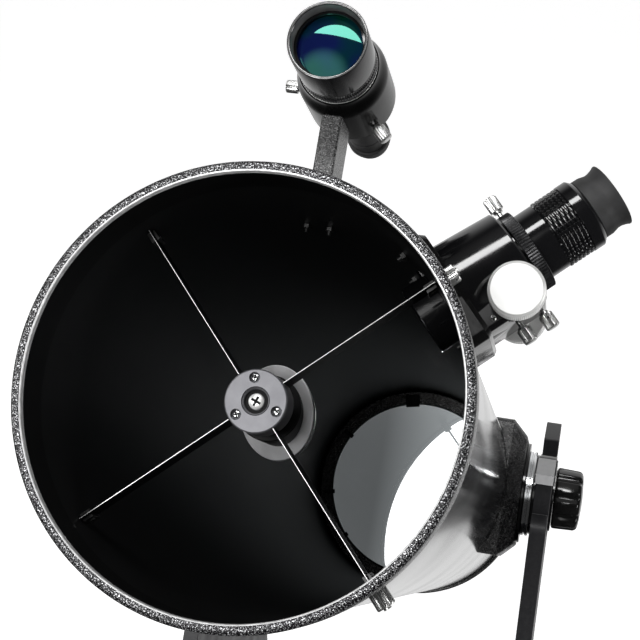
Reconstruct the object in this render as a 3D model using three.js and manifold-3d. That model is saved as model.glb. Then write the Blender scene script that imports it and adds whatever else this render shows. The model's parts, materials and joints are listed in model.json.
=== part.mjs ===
// A 254 mm (10 inch) f/4.9 Dobsonian reflector: a solid steel tube on a plywood rocker box.
// Millimetres, +Z up. The tube points towards -Y and upwards; +X is on the right for somebody
// who looks into the open end of the tube. The origin is the middle of the underside.

import * as THREE from 'three';
import Module from 'manifold-3d';
import { mergeVertices } from 'three/addons/utils/BufferGeometryUtils.js';

const wasm = await Module();
wasm.setup();

// ---- driving dimensions -------------------------------------------------------------------

const RAD = Math.PI / 180;
const GAP = 0.3;                       // air between neighbouring pieces
const ROUND = 40;                      // sides of the tube and of what fits it

const ALTITUDE = 30;                   // tube angle above the horizon, degrees
const AXIS_HEIGHT = 600;               // altitude axis above the floor
const AXIS_BEHIND_RIM = 775;           // altitude axis behind the front rim, along the tube

const TUBE_R = 150;
const TUBE_WALL = 1.5;
const TUBE_LENGTH = 1213;
const TUBE_SECTIONS = 3;
const RING_R = 155;                    // cast end rings
const RING_LIP_R = 147.5;
const RING_LENGTH = 26;
const RING_FACE = 5;

const MIRROR_R = 127;
const MIRROR_FACE = 1164;              // behind the rim
const MIRROR_THICK = 25;
const MIRROR_CURVE_R = 2500;           // twice the focal length of 1250

const HUB_FACE = 57;                   // spider hub's front face behind the rim
const HUB_R = 22.4;
const HUB_LENGTH = 24;
const VANE_ANGLE = 42;                 // first vane; the others follow every 90 degrees
const VANE_THICK = 1;
const VANE_DEPTH = 22;

const FOCUS_S = 145;                   // focuser axis behind the rim
const FOCUS_ANGLE = 42;                // focuser axis above +X, seen from the front
const FOCUS_TUBE_R = 27.9;
const FOCUS_BODY_R = 38.5;
const FOCUS_FOOT_R = 42;               // the body widens towards its base
const PINION = { x: 31, z: 193 };      // focus shaft, in the focuser's own frame

const FINDER_HEIGHT = 265.4;           // finder axis above the tube axis
const FINDER_X = 6.2;
const FINDER_FOOT_X = 4.4;             // middle of the finder's shoe
const FINDER_FRONT = 60;               // finder's front edge behind the rim

const PANEL_X = 184;                   // inner face of each side panel
const PANEL_THICK = 18;
const U_CUT_R = 52;                    // cradle in the side panels
const JOURNAL_R = 49;                  // bearing journals that lie in the cradles
const FRONT_BOARD_Y = -183;            // front face, in front of the altitude axis
const FRONT_BOARD_TOP = 330;
const DIP_R = 330;                     // hollow in the front board's top edge
const DIP_DEPTH = 30;
const HANDLE_HEIGHT = 215;
const BOARD_R = 300;
const BOARD_THICK = 18;
const FOOT_HEIGHT = 22;
const BEARING_GAP = 5;                 // azimuth needle bearing between the boards
const BEARING_R0 = 105;
const BEARING_R1 = 150;

const BLOCK_X = 167;                   // outer face of the altitude blocks
const KNOB_X = 205;                    // inner face of the altitude knobs

// ---- materials ----------------------------------------------------------------------------

const material = (color, roughness, metalness) =>
  new THREE.MeshStandardMaterial({ color, roughness, metalness });
const glossBlack = material(0x0c0c0d, 0.12, 0.2);
const hammertone = material(0x18191a, 0.35, 0.5);
const anodised = material(0x0b0b0c, 0.25, 0.7);
const greyAnodised = material(0x4a4c4e, 0.4, 0.8);
const silver = material(0xc9cbcd, 0.25, 0.95);
const satinSilver = material(0xe4e5e5, 0.35, 0.8);
const plastic = material(0x0f0f10, 0.3, 0);
const padGrey = material(0x77797b, 0.6, 0);
const rubber = material(0x161616, 0.8, 0);
const laminate = material(0x141416, 0.45, 0);
const steelBlack = material(0x1a1a1a, 0.5, 0.8);
const mirrorCoat = material(0xf4f6f8, 0.02, 1);
const coatedGlass = material(0x0d4a44, 0.05, 0.1);

// ---- solids -------------------------------------------------------------------------------

// A closed geometry as an exact solid, with its faces turned outwards.
function solid(geometry) {
  const bare = geometry.clone();
  for (const name of Object.keys(bare.attributes)) {
    if (name !== 'position') bare.deleteAttribute(name);
  }
  const merged = mergeVertices(bare, 1e-4);
  const position = merged.attributes.position;
  const index = merged.index.array;
  const faces = [];
  let volume = 0;
  const [a, b, c] = [new THREE.Vector3(), new THREE.Vector3(), new THREE.Vector3()];
  for (let i = 0; i < index.length; i += 3) {
    const [p, q, r] = index.subarray(i, i + 3);
    if (p === q || q === r || r === p) continue;
    a.fromBufferAttribute(position, p);
    b.fromBufferAttribute(position, q);
    c.fromBufferAttribute(position, r);
    volume += a.dot(b.clone().cross(c));
    faces.push([p, q, r]);
  }
  const turned = volume < 0 ? faces.map(([p, q, r]) => [p, r, q]) : faces;
  return new wasm.Manifold(new wasm.Mesh({
    numProp: 3,
    vertProperties: new Float32Array(position.array),
    triVerts: new Uint32Array(turned.flat()),
  }));
}

function geometryOf(body) {
  const mesh = body.getMesh();
  const geometry = new THREE.BufferGeometry();
  geometry.setAttribute('position', new THREE.BufferAttribute(new Float32Array(mesh.vertProperties), 3));
  geometry.setIndex(new THREE.BufferAttribute(new Uint32Array(mesh.triVerts), 1));
  geometry.computeVertexNormals();
  return geometry;
}

const at = (geometry, x, y, z) => geometry.translate(x, y, z);

function block(x0, x1, y0, y1, z0, z1) {
  const geometry = new THREE.BoxGeometry(x1 - x0, y1 - y0, z1 - z0);
  return solid(at(geometry, (x0 + x1) / 2, (y0 + y1) / 2, (z0 + z1) / 2));
}

// A solid of revolution about Y from [radius, y] points. A ring's outline closes on itself.
function turnedY(points, segments = 24) {
  const first = points[0];
  const outline = first[0] === 0 ? points : [...points, first];
  return solid(new THREE.LatheGeometry(outline.map(([r, y]) => new THREE.Vector2(r, y)), segments));
}

// The same about Z, from [radius, z] points, and about X, from [radius, x] points.
const turnedZ = (points, segments) => turnedY(points, segments).rotate([90, 0, 0]);
const turnedX = (points, segments) => turnedY(points, segments).rotate([0, 0, -90]);

const rodY = (r, y0, y1, segments = 16) => turnedY([[0, y0], [r, y0], [r, y1], [0, y1]], segments);
const rodZ = (r, z0, z1, segments = 16) => turnedZ([[0, z0], [r, z0], [r, z1], [0, z1]], segments);
const rodX = (r, x0, x1, segments = 16) => turnedX([[0, x0], [r, x0], [r, x1], [0, x1]], segments);
const tubeY = (r0, r1, y0, y1, segments = 24) => turnedY([[r0, y0], [r1, y0], [r1, y1], [r0, y1]], segments);
const tubeZ = (r0, r1, z0, z1, segments = 24) => turnedZ([[r0, z0], [r1, z0], [r1, z1], [r0, z1]], segments);

// A flat outline in the (y, z) plane, given thickness along +X from x0.
function plateX(shape, x0, thickness, curveSegments = 8) {
  const geometry = new THREE.ExtrudeGeometry(shape, { depth: thickness, bevelEnabled: false, curveSegments });
  geometry.rotateX(Math.PI / 2).rotateZ(Math.PI / 2);
  return solid(at(geometry, x0, 0, 0));
}

function join(...bodies) {
  return bodies.reduce((sum, body) => sum.add(body));
}

function cut(body, ...tools) {
  return tools.reduce((rest, tool) => rest.subtract(tool), body);
}

function addPiece(group, name, looks, body) {
  const mesh = new THREE.Mesh(geometryOf(body), looks);
  mesh.name = name;
  group.add(mesh);
  return mesh;
}

// ---- the groups: base, and a tube group that tilts about the altitude axis -------------------

const telescope = new THREE.Group();
const tilted = new THREE.Group();
tilted.position.z = AXIS_HEIGHT;
tilted.rotation.x = -ALTITUDE * RAD;
telescope.add(tilted);

// In the ota group, y is the distance behind the front rim.
const ota = new THREE.Group();
ota.position.y = -AXIS_BEHIND_RIM;
tilted.add(ota);

// ---- ground board and azimuth bearing -------------------------------------------------------

const groundTop = FOOT_HEIGHT + BOARD_THICK;
const rockerFloor = groundTop + BEARING_GAP;
const rockerTop = rockerFloor + BOARD_THICK;
const boltR = 6;
const boltTop = rockerTop + 24;

function makeGround() {
  // The bearing's lower race is fixed to the board, so the two are one piece.
  addPiece(telescope, 'ground_board', laminate, join(
    cut(rodZ(BOARD_R, FOOT_HEIGHT, groundTop, 40), rodZ(boltR + GAP, 0, groundTop + 1)),
    tubeZ(BEARING_R0, BEARING_R1, groundTop - 1, rockerFloor - GAP, 24),
  ));
  for (let i = 0; i < 3; i += 1) {
    const angle = (90 + 120 * i) * RAD;
    const foot = rodZ(32, 0, FOOT_HEIGHT - GAP, 24);
    const spot = [240 * Math.cos(angle), 240 * Math.sin(angle), 0];
    addPiece(telescope, `foot_${i + 1}`, rubber, foot.translate(spot));
  }
  addPiece(telescope, 'azimuth_bolt', silver, join(
    rodZ(boltR, 12, boltTop, 20),
    rodZ(14, 12, FOOT_HEIGHT - GAP, 20),
  ));
}

// ---- rocker box -------------------------------------------------------------------------------

const headTopFront = 76;               // horn tops above the altitude axis
const headTopRear = 50;
const neckY = 126;
const shoulder = 28;                   // ledge below the front horn

function panelOutline() {
  const floor = rockerTop + GAP - AXIS_HEIGHT;
  const shape = new THREE.Shape();
  shape.moveTo(-205, floor);
  shape.lineTo(-205, floor + 70);
  shape.bezierCurveTo(-205, -200, -neckY, -170, -neckY, -120);
  shape.lineTo(-neckY, 16);
  shape.quadraticCurveTo(-neckY, shoulder, -neckY + 12, shoulder);
  shape.lineTo(-100, shoulder);
  shape.lineTo(-100, headTopFront);
  shape.lineTo(-U_CUT_R, headTopFront);
  shape.lineTo(-U_CUT_R, 0);
  shape.absarc(0, 0, U_CUT_R, Math.PI, 2 * Math.PI, false);
  shape.lineTo(U_CUT_R, headTopRear);
  shape.lineTo(98, headTopRear);
  shape.quadraticCurveTo(neckY, 45, neckY, 20);
  shape.lineTo(neckY, -160);
  shape.bezierCurveTo(neckY, floor + 230, 205, floor + 190, 205, floor + 70);
  shape.lineTo(205, floor);
  shape.closePath();
  return shape;
}

function makeRocker() {
  addPiece(telescope, 'rocker_board', laminate, cut(
    rodZ(BOARD_R - 5, rockerFloor, rockerTop, 40),
    rodZ(boltR + 1.5, 0, rockerTop + 1),
  ));
  const outline = panelOutline();
  for (const [name, side] of [['right', 1], ['left', -1]]) {
    const x0 = side > 0 ? PANEL_X : -PANEL_X - PANEL_THICK;
    addPiece(telescope, `side_panel_${name}`, laminate,
      plateX(outline, x0, PANEL_THICK, 8).translate([0, 0, AXIS_HEIGHT]));
    // A grey cap straddles the top of the front horn.
    const wall = 3;
    const cap = cut(
      block(x0 - wall, x0 + PANEL_THICK + wall, -106, -64, headTopFront - 8, headTopFront + 4),
      block(x0 - GAP, x0 + PANEL_THICK + GAP, -100 - GAP, 0, 0, headTopFront + GAP),
    );
    addPiece(telescope, `saddle_pad_${name}`, padGrey, cap.translate([0, 0, AXIS_HEIGHT]));
  }
  // The front board dips in the middle, and carries the handle.
  const front = FRONT_BOARD_Y;
  const top = FRONT_BOARD_TOP;
  const dip = new THREE.CylinderGeometry(DIP_R, DIP_R, 4 * BOARD_THICK, 60);
  addPiece(telescope, 'front_board', laminate, join(
    cut(
      block(-PANEL_X + GAP, PANEL_X - GAP, front, front + BOARD_THICK, rockerTop + GAP, top),
      solid(at(dip, 0, front, top + DIP_R - DIP_DEPTH)),
    ),
    handle(front, HANDLE_HEIGHT),
  ));
}

// A bow handle on the outside of the front board.
function handle(y, z) {
  const reach = 38;
  const half = 62;
  const path = new THREE.CatmullRomCurve3([
    new THREE.Vector3(-half, y - 5, z),
    new THREE.Vector3(-half, y - reach * 0.7, z),
    new THREE.Vector3(-half * 0.7, y - reach, z),
    new THREE.Vector3(half * 0.7, y - reach, z),
    new THREE.Vector3(half, y - reach * 0.7, z),
    new THREE.Vector3(half, y - 5, z),
  ], false, 'catmullrom', 0.3);
  const section = new THREE.Shape().absellipse(0, 0, 7, 10, 0, 2 * Math.PI, false, 0);
  const grip = solid(new THREE.ExtrudeGeometry(section, { steps: 18, curveSegments: 3, extrudePath: path }));
  const feet = [-half, half].map((x) => block(x - 16, x + 16, y - 8, y + 1, z - 15, z + 15));
  return join(grip, ...feet);
}

function makeAzimuthKnob() {
  const shaft = rodZ(boltR + GAP, 0, boltTop + 1, 20);
  const knob = turnedZ([
    [0, rockerTop + 3], [26, rockerTop + 3], [26, rockerTop + 26], [20, rockerTop + 32], [0, rockerTop + 32],
  ], 24);
  addPiece(telescope, 'azimuth_knob', plastic, cut(knob, shaft));
}

// ---- altitude bearings ------------------------------------------------------------------------

const SLOT_TRAVEL = 30;                // balance adjustment each way
const NUT_R = 16;

// The cast block on the tube's flank: a bevelled slab with a saddle underside, hollow behind,
// and a slot along the tube for the bearing's bolt. It is drawn on +X.
function bearingBlock() {
  const halfLength = 80;
  const halfWidth = 78;
  const bevel = 17;
  const rimX = BLOCK_X - bevel;
  const base = new THREE.Shape();
  base.moveTo(-halfLength, -halfWidth);
  base.lineTo(halfLength, -halfWidth);
  base.lineTo(halfLength, halfWidth);
  base.lineTo(-halfLength, halfWidth);
  base.closePath();
  const body = plateX(base, 118, BLOCK_X - 118);
  // Each bevel takes off what stands outside a plane at 45 degrees.
  const bevelCut = (edge, turn) => {
    const wedge = new THREE.BoxGeometry(80, 80, 400).translate(40, 0, 0).rotateZ(45 * RAD);
    return solid(at(wedge, rimX + bevel / 2, edge - bevel / 2, 0)).rotate([turn, 0, 0]);
  };
  const slot = join(
    block(BLOCK_X - 30, BLOCK_X + 5, -SLOT_TRAVEL, SLOT_TRAVEL, -7, 7),
    rodX(7, BLOCK_X - 30, BLOCK_X + 5, 16).translate([0, SLOT_TRAVEL, 0]),
    rodX(7, BLOCK_X - 30, BLOCK_X + 5, 16).translate([0, -SLOT_TRAVEL, 0]),
  );
  const pocketHalf = NUT_R + SLOT_TRAVEL + 3;
  return cut(
    body,
    bevelCut(halfLength, 0), bevelCut(halfWidth, 90), bevelCut(halfLength, 180), bevelCut(halfWidth, 270),
    rodY(TUBE_R + 0.4, -200, 200, ROUND),
    block(100, BLOCK_X - 7, -pocketHalf, pocketHalf, -NUT_R - 2, NUT_R + 2),
    slot,
  );
}

// Slide nut, bolt, friction flange, silver ring, washer and journal, turned as one piece on +X.
function trunnion() {
  return turnedX([
    [0, BLOCK_X - 14], [NUT_R, BLOCK_X - 14], [NUT_R, BLOCK_X - 7.5], [6, BLOCK_X - 7.5],
    [6, BLOCK_X + GAP], [59, BLOCK_X + GAP], [59, BLOCK_X + 4], [50, BLOCK_X + 4],
    [50, BLOCK_X + 12.5], [47, BLOCK_X + 12.5], [47, PANEL_X - GAP], [JOURNAL_R, PANEL_X - GAP],
    [JOURNAL_R, PANEL_X + PANEL_THICK + 1], [40, PANEL_X + PANEL_THICK + 1], [40, KNOB_X - GAP],
    [5, KNOB_X - GAP], [5, KNOB_X + 15], [0, KNOB_X + 15],
  ], 20);
}

function altitudeKnob() {
  const fluted = turnedX([
    [0, KNOB_X], [33, KNOB_X], [36, KNOB_X + 3], [35, KNOB_X + 27], [31, KNOB_X + 31], [0, KNOB_X + 33],
  ], 27);
  const flutes = [];
  for (let i = 0; i < 9; i += 1) {
    const angle = 40 * i * RAD;
    flutes.push(rodX(6, 190, 250, 6).translate([0, 39.2 * Math.cos(angle), 39.2 * Math.sin(angle)]));
  }
  return cut(fluted, rodX(5 + GAP, KNOB_X - 5, KNOB_X + 17, 20), ...flutes);
}

function makeAltitudeBearings() {
  const sides = [['right', 0], ['left', 180]];
  for (const [name, turn] of sides) {
    addPiece(tilted, `bearing_block_${name}`, hammertone, bearingBlock().rotate([0, 0, turn]));
    addPiece(tilted, `trunnion_${name}`, silver, trunnion().rotate([0, 0, turn]));
    addPiece(tilted, `altitude_knob_${name}`, plastic, altitudeKnob().rotate([0, 0, turn]));
  }
}

// ---- tube and end rings ---------------------------------------------------------------------

// A solid in the focuser's frame (local Z along the focuser axis) moved into the ota group.
const toOta = (body) => body.rotate([0, 90 - FOCUS_ANGLE, 0]).translate([0, FOCUS_S, 0]);

function makeTube() {
  // The wall is in three lengths, end to end; the focuser's hole is in the first.
  const front = RING_FACE + 1;
  const length = (TUBE_LENGTH - 8 - front) / TUBE_SECTIONS;
  for (let i = 0; i < TUBE_SECTIONS; i += 1) {
    const start = front + length * i;
    const wall = tubeY(TUBE_R - TUBE_WALL, TUBE_R, start, start + length - GAP, ROUND);
    addPiece(ota, `tube_section_${i + 1}`, glossBlack, cut(wall, toOta(rodZ(34, 120, 180, 20))));
  }
  addPiece(ota, 'front_ring', hammertone, turnedY([
    [RING_LIP_R, 0], [RING_R - 2, 0], [RING_R, 2], [RING_R, RING_LENGTH], [TUBE_R + GAP, RING_LENGTH],
    [TUBE_R + GAP, RING_FACE], [RING_LIP_R, RING_FACE],
  ], ROUND));
}

const COLLIMATION_R = 100;
const FAN_R = 37;

function makeRearRing() {
  const end = TUBE_LENGTH + 2;
  const ring = turnedY([
    [TUBE_R + GAP, end - 28], [RING_R, end - 28], [RING_R, end - 2], [RING_R - 2, end],
    [132, end], [132, end - 7], [TUBE_R + GAP, end - 7],
  ], ROUND);
  const hub = tubeY(FAN_R + 2, 50, end - 12, end, 24);
  const arms = [];
  for (let i = 0; i < 3; i += 1) {
    const arm = block(44, 140, end - 10, end - 1, -15, 15);
    arms.push(arm.rotate([0, 90 + 120 * i, 0]));
  }
  const holes = [];
  for (let i = 0; i < 3; i += 1) {
    const hole = rodY(4.6, end - 40, end + 5, 10).translate([COLLIMATION_R, 0, 0]);
    holes.push(hole.rotate([0, 90 + 120 * i, 0]));
  }
  addPiece(ota, 'rear_ring', hammertone, cut(join(ring, hub, ...arms), ...holes));
  const blades = [];
  for (let i = 0; i < 7; i += 1) {
    const blade = new THREE.BoxGeometry(22, 1.6, 14).rotateX(35 * RAD);
    blades.push(solid(at(blade, 24, end - 8, 0)).rotate([0, (360 / 7) * i, 0]));
  }
  addPiece(ota, 'fan_rotor', plastic, join(rodY(15, end - 13, end - 3, 14), ...blades));
  for (let i = 0; i < 3; i += 1) {
    const knob = turnedY([
      [0, end - 17], [4, end - 17], [4, end + 1], [13, end + 1],
      [13, end + 16], [11, end + 18], [0, end + 18],
    ], 14);
    addPiece(ota, `collimation_knob_${i + 1}`, plastic,
      knob.translate([COLLIMATION_R, 0, 0]).rotate([0, 90 + 120 * i, 0]));
  }
}

// ---- primary mirror -------------------------------------------------------------------------

function makePrimary() {
  const sag = (r) => (r * r) / (2 * MIRROR_CURVE_R);
  const face = [];
  const steps = 3;
  for (let i = 0; i <= steps; i += 1) {
    const r = (MIRROR_R - 1) * (i / steps);
    face.push([r, MIRROR_FACE + sag(MIRROR_R) - sag(r)]);
  }
  addPiece(ota, 'primary_mirror', mirrorCoat, turnedY([
    ...face, [MIRROR_R, MIRROR_FACE + 1], [MIRROR_R, MIRROR_FACE + MIRROR_THICK],
    [0, MIRROR_FACE + MIRROR_THICK],
  ], ROUND));
  // The cell is a tray: a ring round the mirror and a floor with a hole for the fan's air.
  const back = MIRROR_FACE + MIRROR_THICK + GAP;
  addPiece(ota, 'mirror_cell', hammertone, turnedY([
    [MIRROR_R + 1.5, MIRROR_FACE + 4], [146.5, MIRROR_FACE + 4], [146.5, back + 8], [60, back + 8],
    [60, back], [MIRROR_R + 1.5, back],
  ], ROUND));
}

// ---- spider and secondary mirror ------------------------------------------------------------

const HUB_SCREW_R = 16.5;
const HUB_SCREW_ANGLE = 102;
const HOLDER_R = 33.5;
const HOLDER_FRONT = 100;
const STALK_R = 24;
const PLATE_THICK = 5.4;
const DIAGONAL_R = 32.5;
const DIAGONAL_THICK = 6;
const DIAGONAL_TILT = 45;
const DIAGONAL_OFFSET = 1.2;            // away from the focuser, to centre it in the light cone

function makeSpider() {
  const hubBack = HUB_FACE + HUB_LENGTH;
  const screwHoles = [];
  for (let i = 0; i < 3; i += 1) {
    const angle = HUB_SCREW_ANGLE + 120 * i;
    const hole = join(
      rodY(3.9, HUB_FACE - 1, HUB_FACE + 4, 12),
      rodY(2.3, HUB_FACE, hubBack + 1, 8),
    ).translate([HUB_SCREW_R, 0, 0]).rotate([0, -angle, 0]);
    screwHoles.push(hole);
    const screw = turnedY([
      [0, HUB_FACE + 1], [3.5, HUB_FACE + 1], [3.5, HUB_FACE + 3.7], [2, HUB_FACE + 3.7],
      [2, HOLDER_FRONT - GAP], [0, HOLDER_FRONT - GAP],
    ], 8).translate([HUB_SCREW_R, 0, 0]).rotate([0, -angle, 0]);
    addPiece(ota, `secondary_screw_${i + 1}`, steelBlack, screw);
  }
  addPiece(ota, 'spider_hub', greyAnodised, cut(
    rodY(HUB_R, HUB_FACE, hubBack, 28),
    rodY(8.7, HUB_FACE - 1, HUB_FACE + 5, 16),
    rodY(3.6, HUB_FACE, hubBack + 1, 12),
    ...screwHoles,
  ));
  const vaneFront = HUB_FACE + 1;
  for (let i = 0; i < 4; i += 1) {
    const vane = block(HUB_R + GAP, TUBE_R - TUBE_WALL - 0.6, vaneFront, vaneFront + VANE_DEPTH,
      -VANE_THICK / 2, VANE_THICK / 2);
    addPiece(ota, `spider_vane_${i + 1}`, steelBlack, vane.rotate([0, -VANE_ANGLE - 90 * i, 0]));
  }
  // The bolt hangs the holder on the hub.
  addPiece(ota, 'secondary_bolt', silver, turnedY([
    [0, HUB_FACE + 1.5], [5, HUB_FACE + 1.5], [5, HUB_FACE + 4.7], [3, HUB_FACE + 4.7],
    [3, HOLDER_FRONT + 4], [0, HOLDER_FRONT + 4],
  ], 12));
}

// Holder and mirror are made with the focuser towards +Z, then turned to the focuser.
function makeSecondary() {
  // What lies between two slanted planes, each a distance behind the reflecting face.
  const slice = (body, from, to) => cut(body, behindSlant(-to), inFrontOfSlant(-from));
  const turn = (body) => body.rotate([0, 90 - FOCUS_ANGLE, 0]);
  const offset = (body) => body.translate([0, 0, -DIAGONAL_OFFSET]);
  const back = DIAGONAL_THICK + GAP;
  const stalk = cut(rodY(STALK_R, HOLDER_FRONT, FOCUS_S + 60, 28), behindSlant(-back));
  const plate = slice(offset(rodY(HOLDER_R, FOCUS_S - 90, FOCUS_S + 60, 28)), back + PLATE_THICK, back);
  const bore = rodY(3 + GAP, FOCUS_S - 90, FOCUS_S + 60, 12);
  addPiece(ota, 'secondary_holder', greyAnodised, turn(cut(join(stalk, plate), bore)));
  const glass = slice(offset(rodY(DIAGONAL_R, FOCUS_S - 90, FOCUS_S + 60, 28)), DIAGONAL_THICK, 0);
  addPiece(ota, 'secondary_mirror', mirrorCoat, turn(glass));
}

// Everything behind, or in front of, the slanted plane that lies offset along its normal.
function behindSlant(offset) {
  const half = new THREE.BoxGeometry(300, 200, 300).translate(0, 100 + offset, 0);
  return solid(at(half.rotateX(DIAGONAL_TILT * RAD), 0, FOCUS_S, 0));
}

function inFrontOfSlant(offset) {
  const half = new THREE.BoxGeometry(300, 200, 300).translate(0, -100 + offset, 0);
  return solid(at(half.rotateX(DIAGONAL_TILT * RAD), 0, FOCUS_S, 0));
}

// ---- focuser --------------------------------------------------------------------------------

const focuser = new THREE.Group();
focuser.position.y = FOCUS_S;
focuser.rotation.y = (90 - FOCUS_ANGLE) * RAD;
ota.add(focuser);

// A small knurled screw: shaft from r0 outwards along X, head from r1 to r2.
const thumbScrew = (r0, r1, r2, headR = 5.5) => turnedX([
  [0, r0], [2, r0], [2, r1], [headR - 2, r1], [headR, r1 + 2], [headR, r2 - 1], [headR - 1, r2], [0, r2],
], 10);

function makeFocuser() {
  const bodyTop = 213.5;
  const baseTop = 163;
  const bore = rodZ(FOCUS_TUBE_R + GAP, 100, 260, 24);
  const base = cut(
    block(-46, 46, -48, 48, 120, baseTop),
    rodY(TUBE_R + 0.8, -100, 100, ROUND),
    bore,
  );
  addPiece(focuser, 'focuser_base', anodised, base);
  const housing = block(8, 41, -34, 34, baseTop + GAP, bodyTop - 2);
  const barrel = turnedZ([
    [0, baseTop + GAP], [FOCUS_FOOT_R, baseTop + GAP], [FOCUS_BODY_R, bodyTop], [0, bodyTop],
  ], 24);
  const body = cut(
    join(barrel, housing),
    bore,
    rodY(4.3, -60, 60, 12).translate([PINION.x, 0, PINION.z]),
    rodX(2.3, 36, 60, 8).translate([0, 0, 186]),
    rodX(2.3, 36, 60, 8).translate([0, 0, 205]),
  );
  addPiece(focuser, 'focuser_body', anodised, body);
  addPiece(focuser, 'focuser_drawtube', anodised, tubeZ(25.7, FOCUS_TUBE_R, 127, 215.5, 24));
  addPiece(focuser, 'focuser_collar', anodised, cut(
    tubeZ(25.7, 32.4, 215.8, 225, 24),
    rodX(2.3, -40, -20, 8).translate([0, 0, 220.4]),
  ));
  addPiece(focuser, 'collar_screw', silver,
    thumbScrew(28, 36, 50).rotate([0, 0, 180]).translate([0, 0, 220.4]));

  const knobR = 20.6;
  const knobY = (y0, y1, r) => turnedY([
    [0, y0], [r - 1.5, y0], [r, y0 + 1.5], [r, y1 - 1.5], [r - 1.5, y1], [0, y1],
  ], 20);
  addPiece(focuser, 'focus_knob_front', satinSilver, join(
    knobY(-64, -50, knobR),
    rodY(9, -50.5, -34.5, 12),
    rodY(4, -36, -30, 12),
    rodY(2.4, -31, 31, 12),
    rodY(4, 30, 40, 12),
  ).translate([PINION.x, 0, PINION.z]));
  addPiece(focuser, 'focus_knob_rear', satinSilver, cut(
    join(knobY(41, 53, knobR), rodY(9, 35, 41.5, 12)),
    rodY(4 + GAP, 30, 41, 12),
  ).translate([PINION.x, 0, PINION.z]));
  addPiece(focuser, 'fine_knob', anodised, knobY(53 + GAP, 64, 11).translate([PINION.x, 0, PINION.z]));
  addPiece(focuser, 'tension_screw', silver, thumbScrew(37, 45, 59).translate([0, 0, 186]));
  addPiece(focuser, 'lock_screw', silver, thumbScrew(37, 45, 59).translate([0, 0, 205]));

  makeEyepiece();
}

function makeEyepiece() {
  // A 2 inch barrel in the drawtube, and a body with a rubber grip above the collar.
  addPiece(focuser, 'eyepiece_body', anodised, turnedZ([
    [23.5, 195], [25.4, 195], [25.4, 225.3], [26.9, 225.3], [26.9, 241.4], [27.6, 241.4], [27.6, 262.8],
    [27.9, 262.8], [27.9, 272], [25, 274.7], [21.5, 274.7], [21.5, 283], [15, 283], [15, 262], [23.5, 240],
  ], 20));
  addPiece(focuser, 'eyecup', rubber, turnedZ([
    [21.5 + GAP, 275], [24.2, 275], [24.2, 283], [22.8, 287.5], [25.2, 295.5], [23.6, 296.5], [20.8, 287.5],
    [21.5 + GAP, 283],
  ], 24));
}

// ---- finder ---------------------------------------------------------------------------------

const finder = new THREE.Group();
finder.position.set(FINDER_X, FINDER_FRONT, FINDER_HEIGHT);
ota.add(finder);

function makeFinder() {
  const cellEnd = 44;
  addPiece(finder, 'finder_cell', anodised, turnedY([
    [27, 0], [30, 0], [30, cellEnd], [26.5, cellEnd], [26.5, 24], [25.4, 24], [25.4, 14], [27, 14],
  ], 20));
  addPiece(finder, 'finder_lens', coatedGlass, turnedY([
    [0, 12.5], [12, 13], [25, 15], [25, 22], [0, 24],
  ], 24));
  addPiece(finder, 'finder_tube', anodised, turnedY([
    [26, cellEnd + GAP], [29, cellEnd + GAP], [29, 130], [25, 142], [18, 172], [16.5, 176], [16.5, 218],
    [14, 218], [14, 176], [22, 142], [26, 128],
  ], 20));
  addPiece(finder, 'finder_eyepiece', rubber, cut(
    turnedY([[0, 190], [13.7, 190], [13.7, 218.3], [19, 218.3], [19, 226], [17, 235], [0, 235]], 20),
    rodY(9, 222, 240, 20),
  ));
  // One broad ring carries the finder on an arm with a dovetail foot.
  const ringBack = 122;
  const ring = turnedY([
    [30.2, 52], [31.2, 52], [35.5, 72], [35.5, ringBack], [31.5, ringBack], [31.5, 68],
  ], 20);
  const foot = TUBE_R + 20 - FINDER_HEIGHT;
  const footX = FINDER_FOOT_X - FINDER_X;
  const arm = block(footX - 8, footX + 8, 66, 106, foot - 4, -33);
  const dovetail = block(footX - 11, footX + 11, 60, 112, foot - 9, foot);
  const screwAngles = [180, -45, 115];
  const hole = rodX(2.3, 25, 45, 8);
  const holes = screwAngles.map((angle) => hole.rotate([0, -angle, 0]).translate([0, 110, 0]));
  addPiece(finder, 'finder_bracket', anodised, cut(join(ring, arm, dovetail), ...holes));
  ['left', 'right'].forEach((side, i) => {
    const screw = thumbScrew(29.6, 38, 51, 5).rotate([0, -screwAngles[i], 0]);
    addPiece(finder, `finder_screw_${side}`, silver, screw.translate([0, 110, 0]));
  });
  // The shoe is screwed to the tube; the dovetail slides in it from the front.
  const shoe = cut(
    block(-19, 19, FINDER_FRONT + 62, FINDER_FRONT + 110, TUBE_R - 6, TUBE_R + 17)
      .translate([FINDER_FOOT_X, 0, 0]),
    rodY(TUBE_R + 0.4, 0, 400, ROUND),
    block(-11.3, 11.3, 0, 400, TUBE_R + 10.5, TUBE_R + 40).translate([FINDER_FOOT_X, 0, 0]),
  );
  addPiece(ota, 'finder_shoe', anodised, shoe);
}

makeGround();
makeRocker();
makeAzimuthKnob();
makeAltitudeBearings();
makeTube();
makeRearRing();
makePrimary();
makeSpider();
makeSecondary();
makeFocuser();
makeFinder();

// The origin is the middle of the underside of the box round everything.
telescope.updateMatrixWorld(true);
const box = new THREE.Box3().setFromObject(telescope, true);
const middle = box.getCenter(new THREE.Vector3());
telescope.position.set(-middle.x, -middle.y, -box.min.z);

export default telescope;
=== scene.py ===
import json
import math

import bmesh
import bpy
from mathutils import Matrix, Vector


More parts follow.
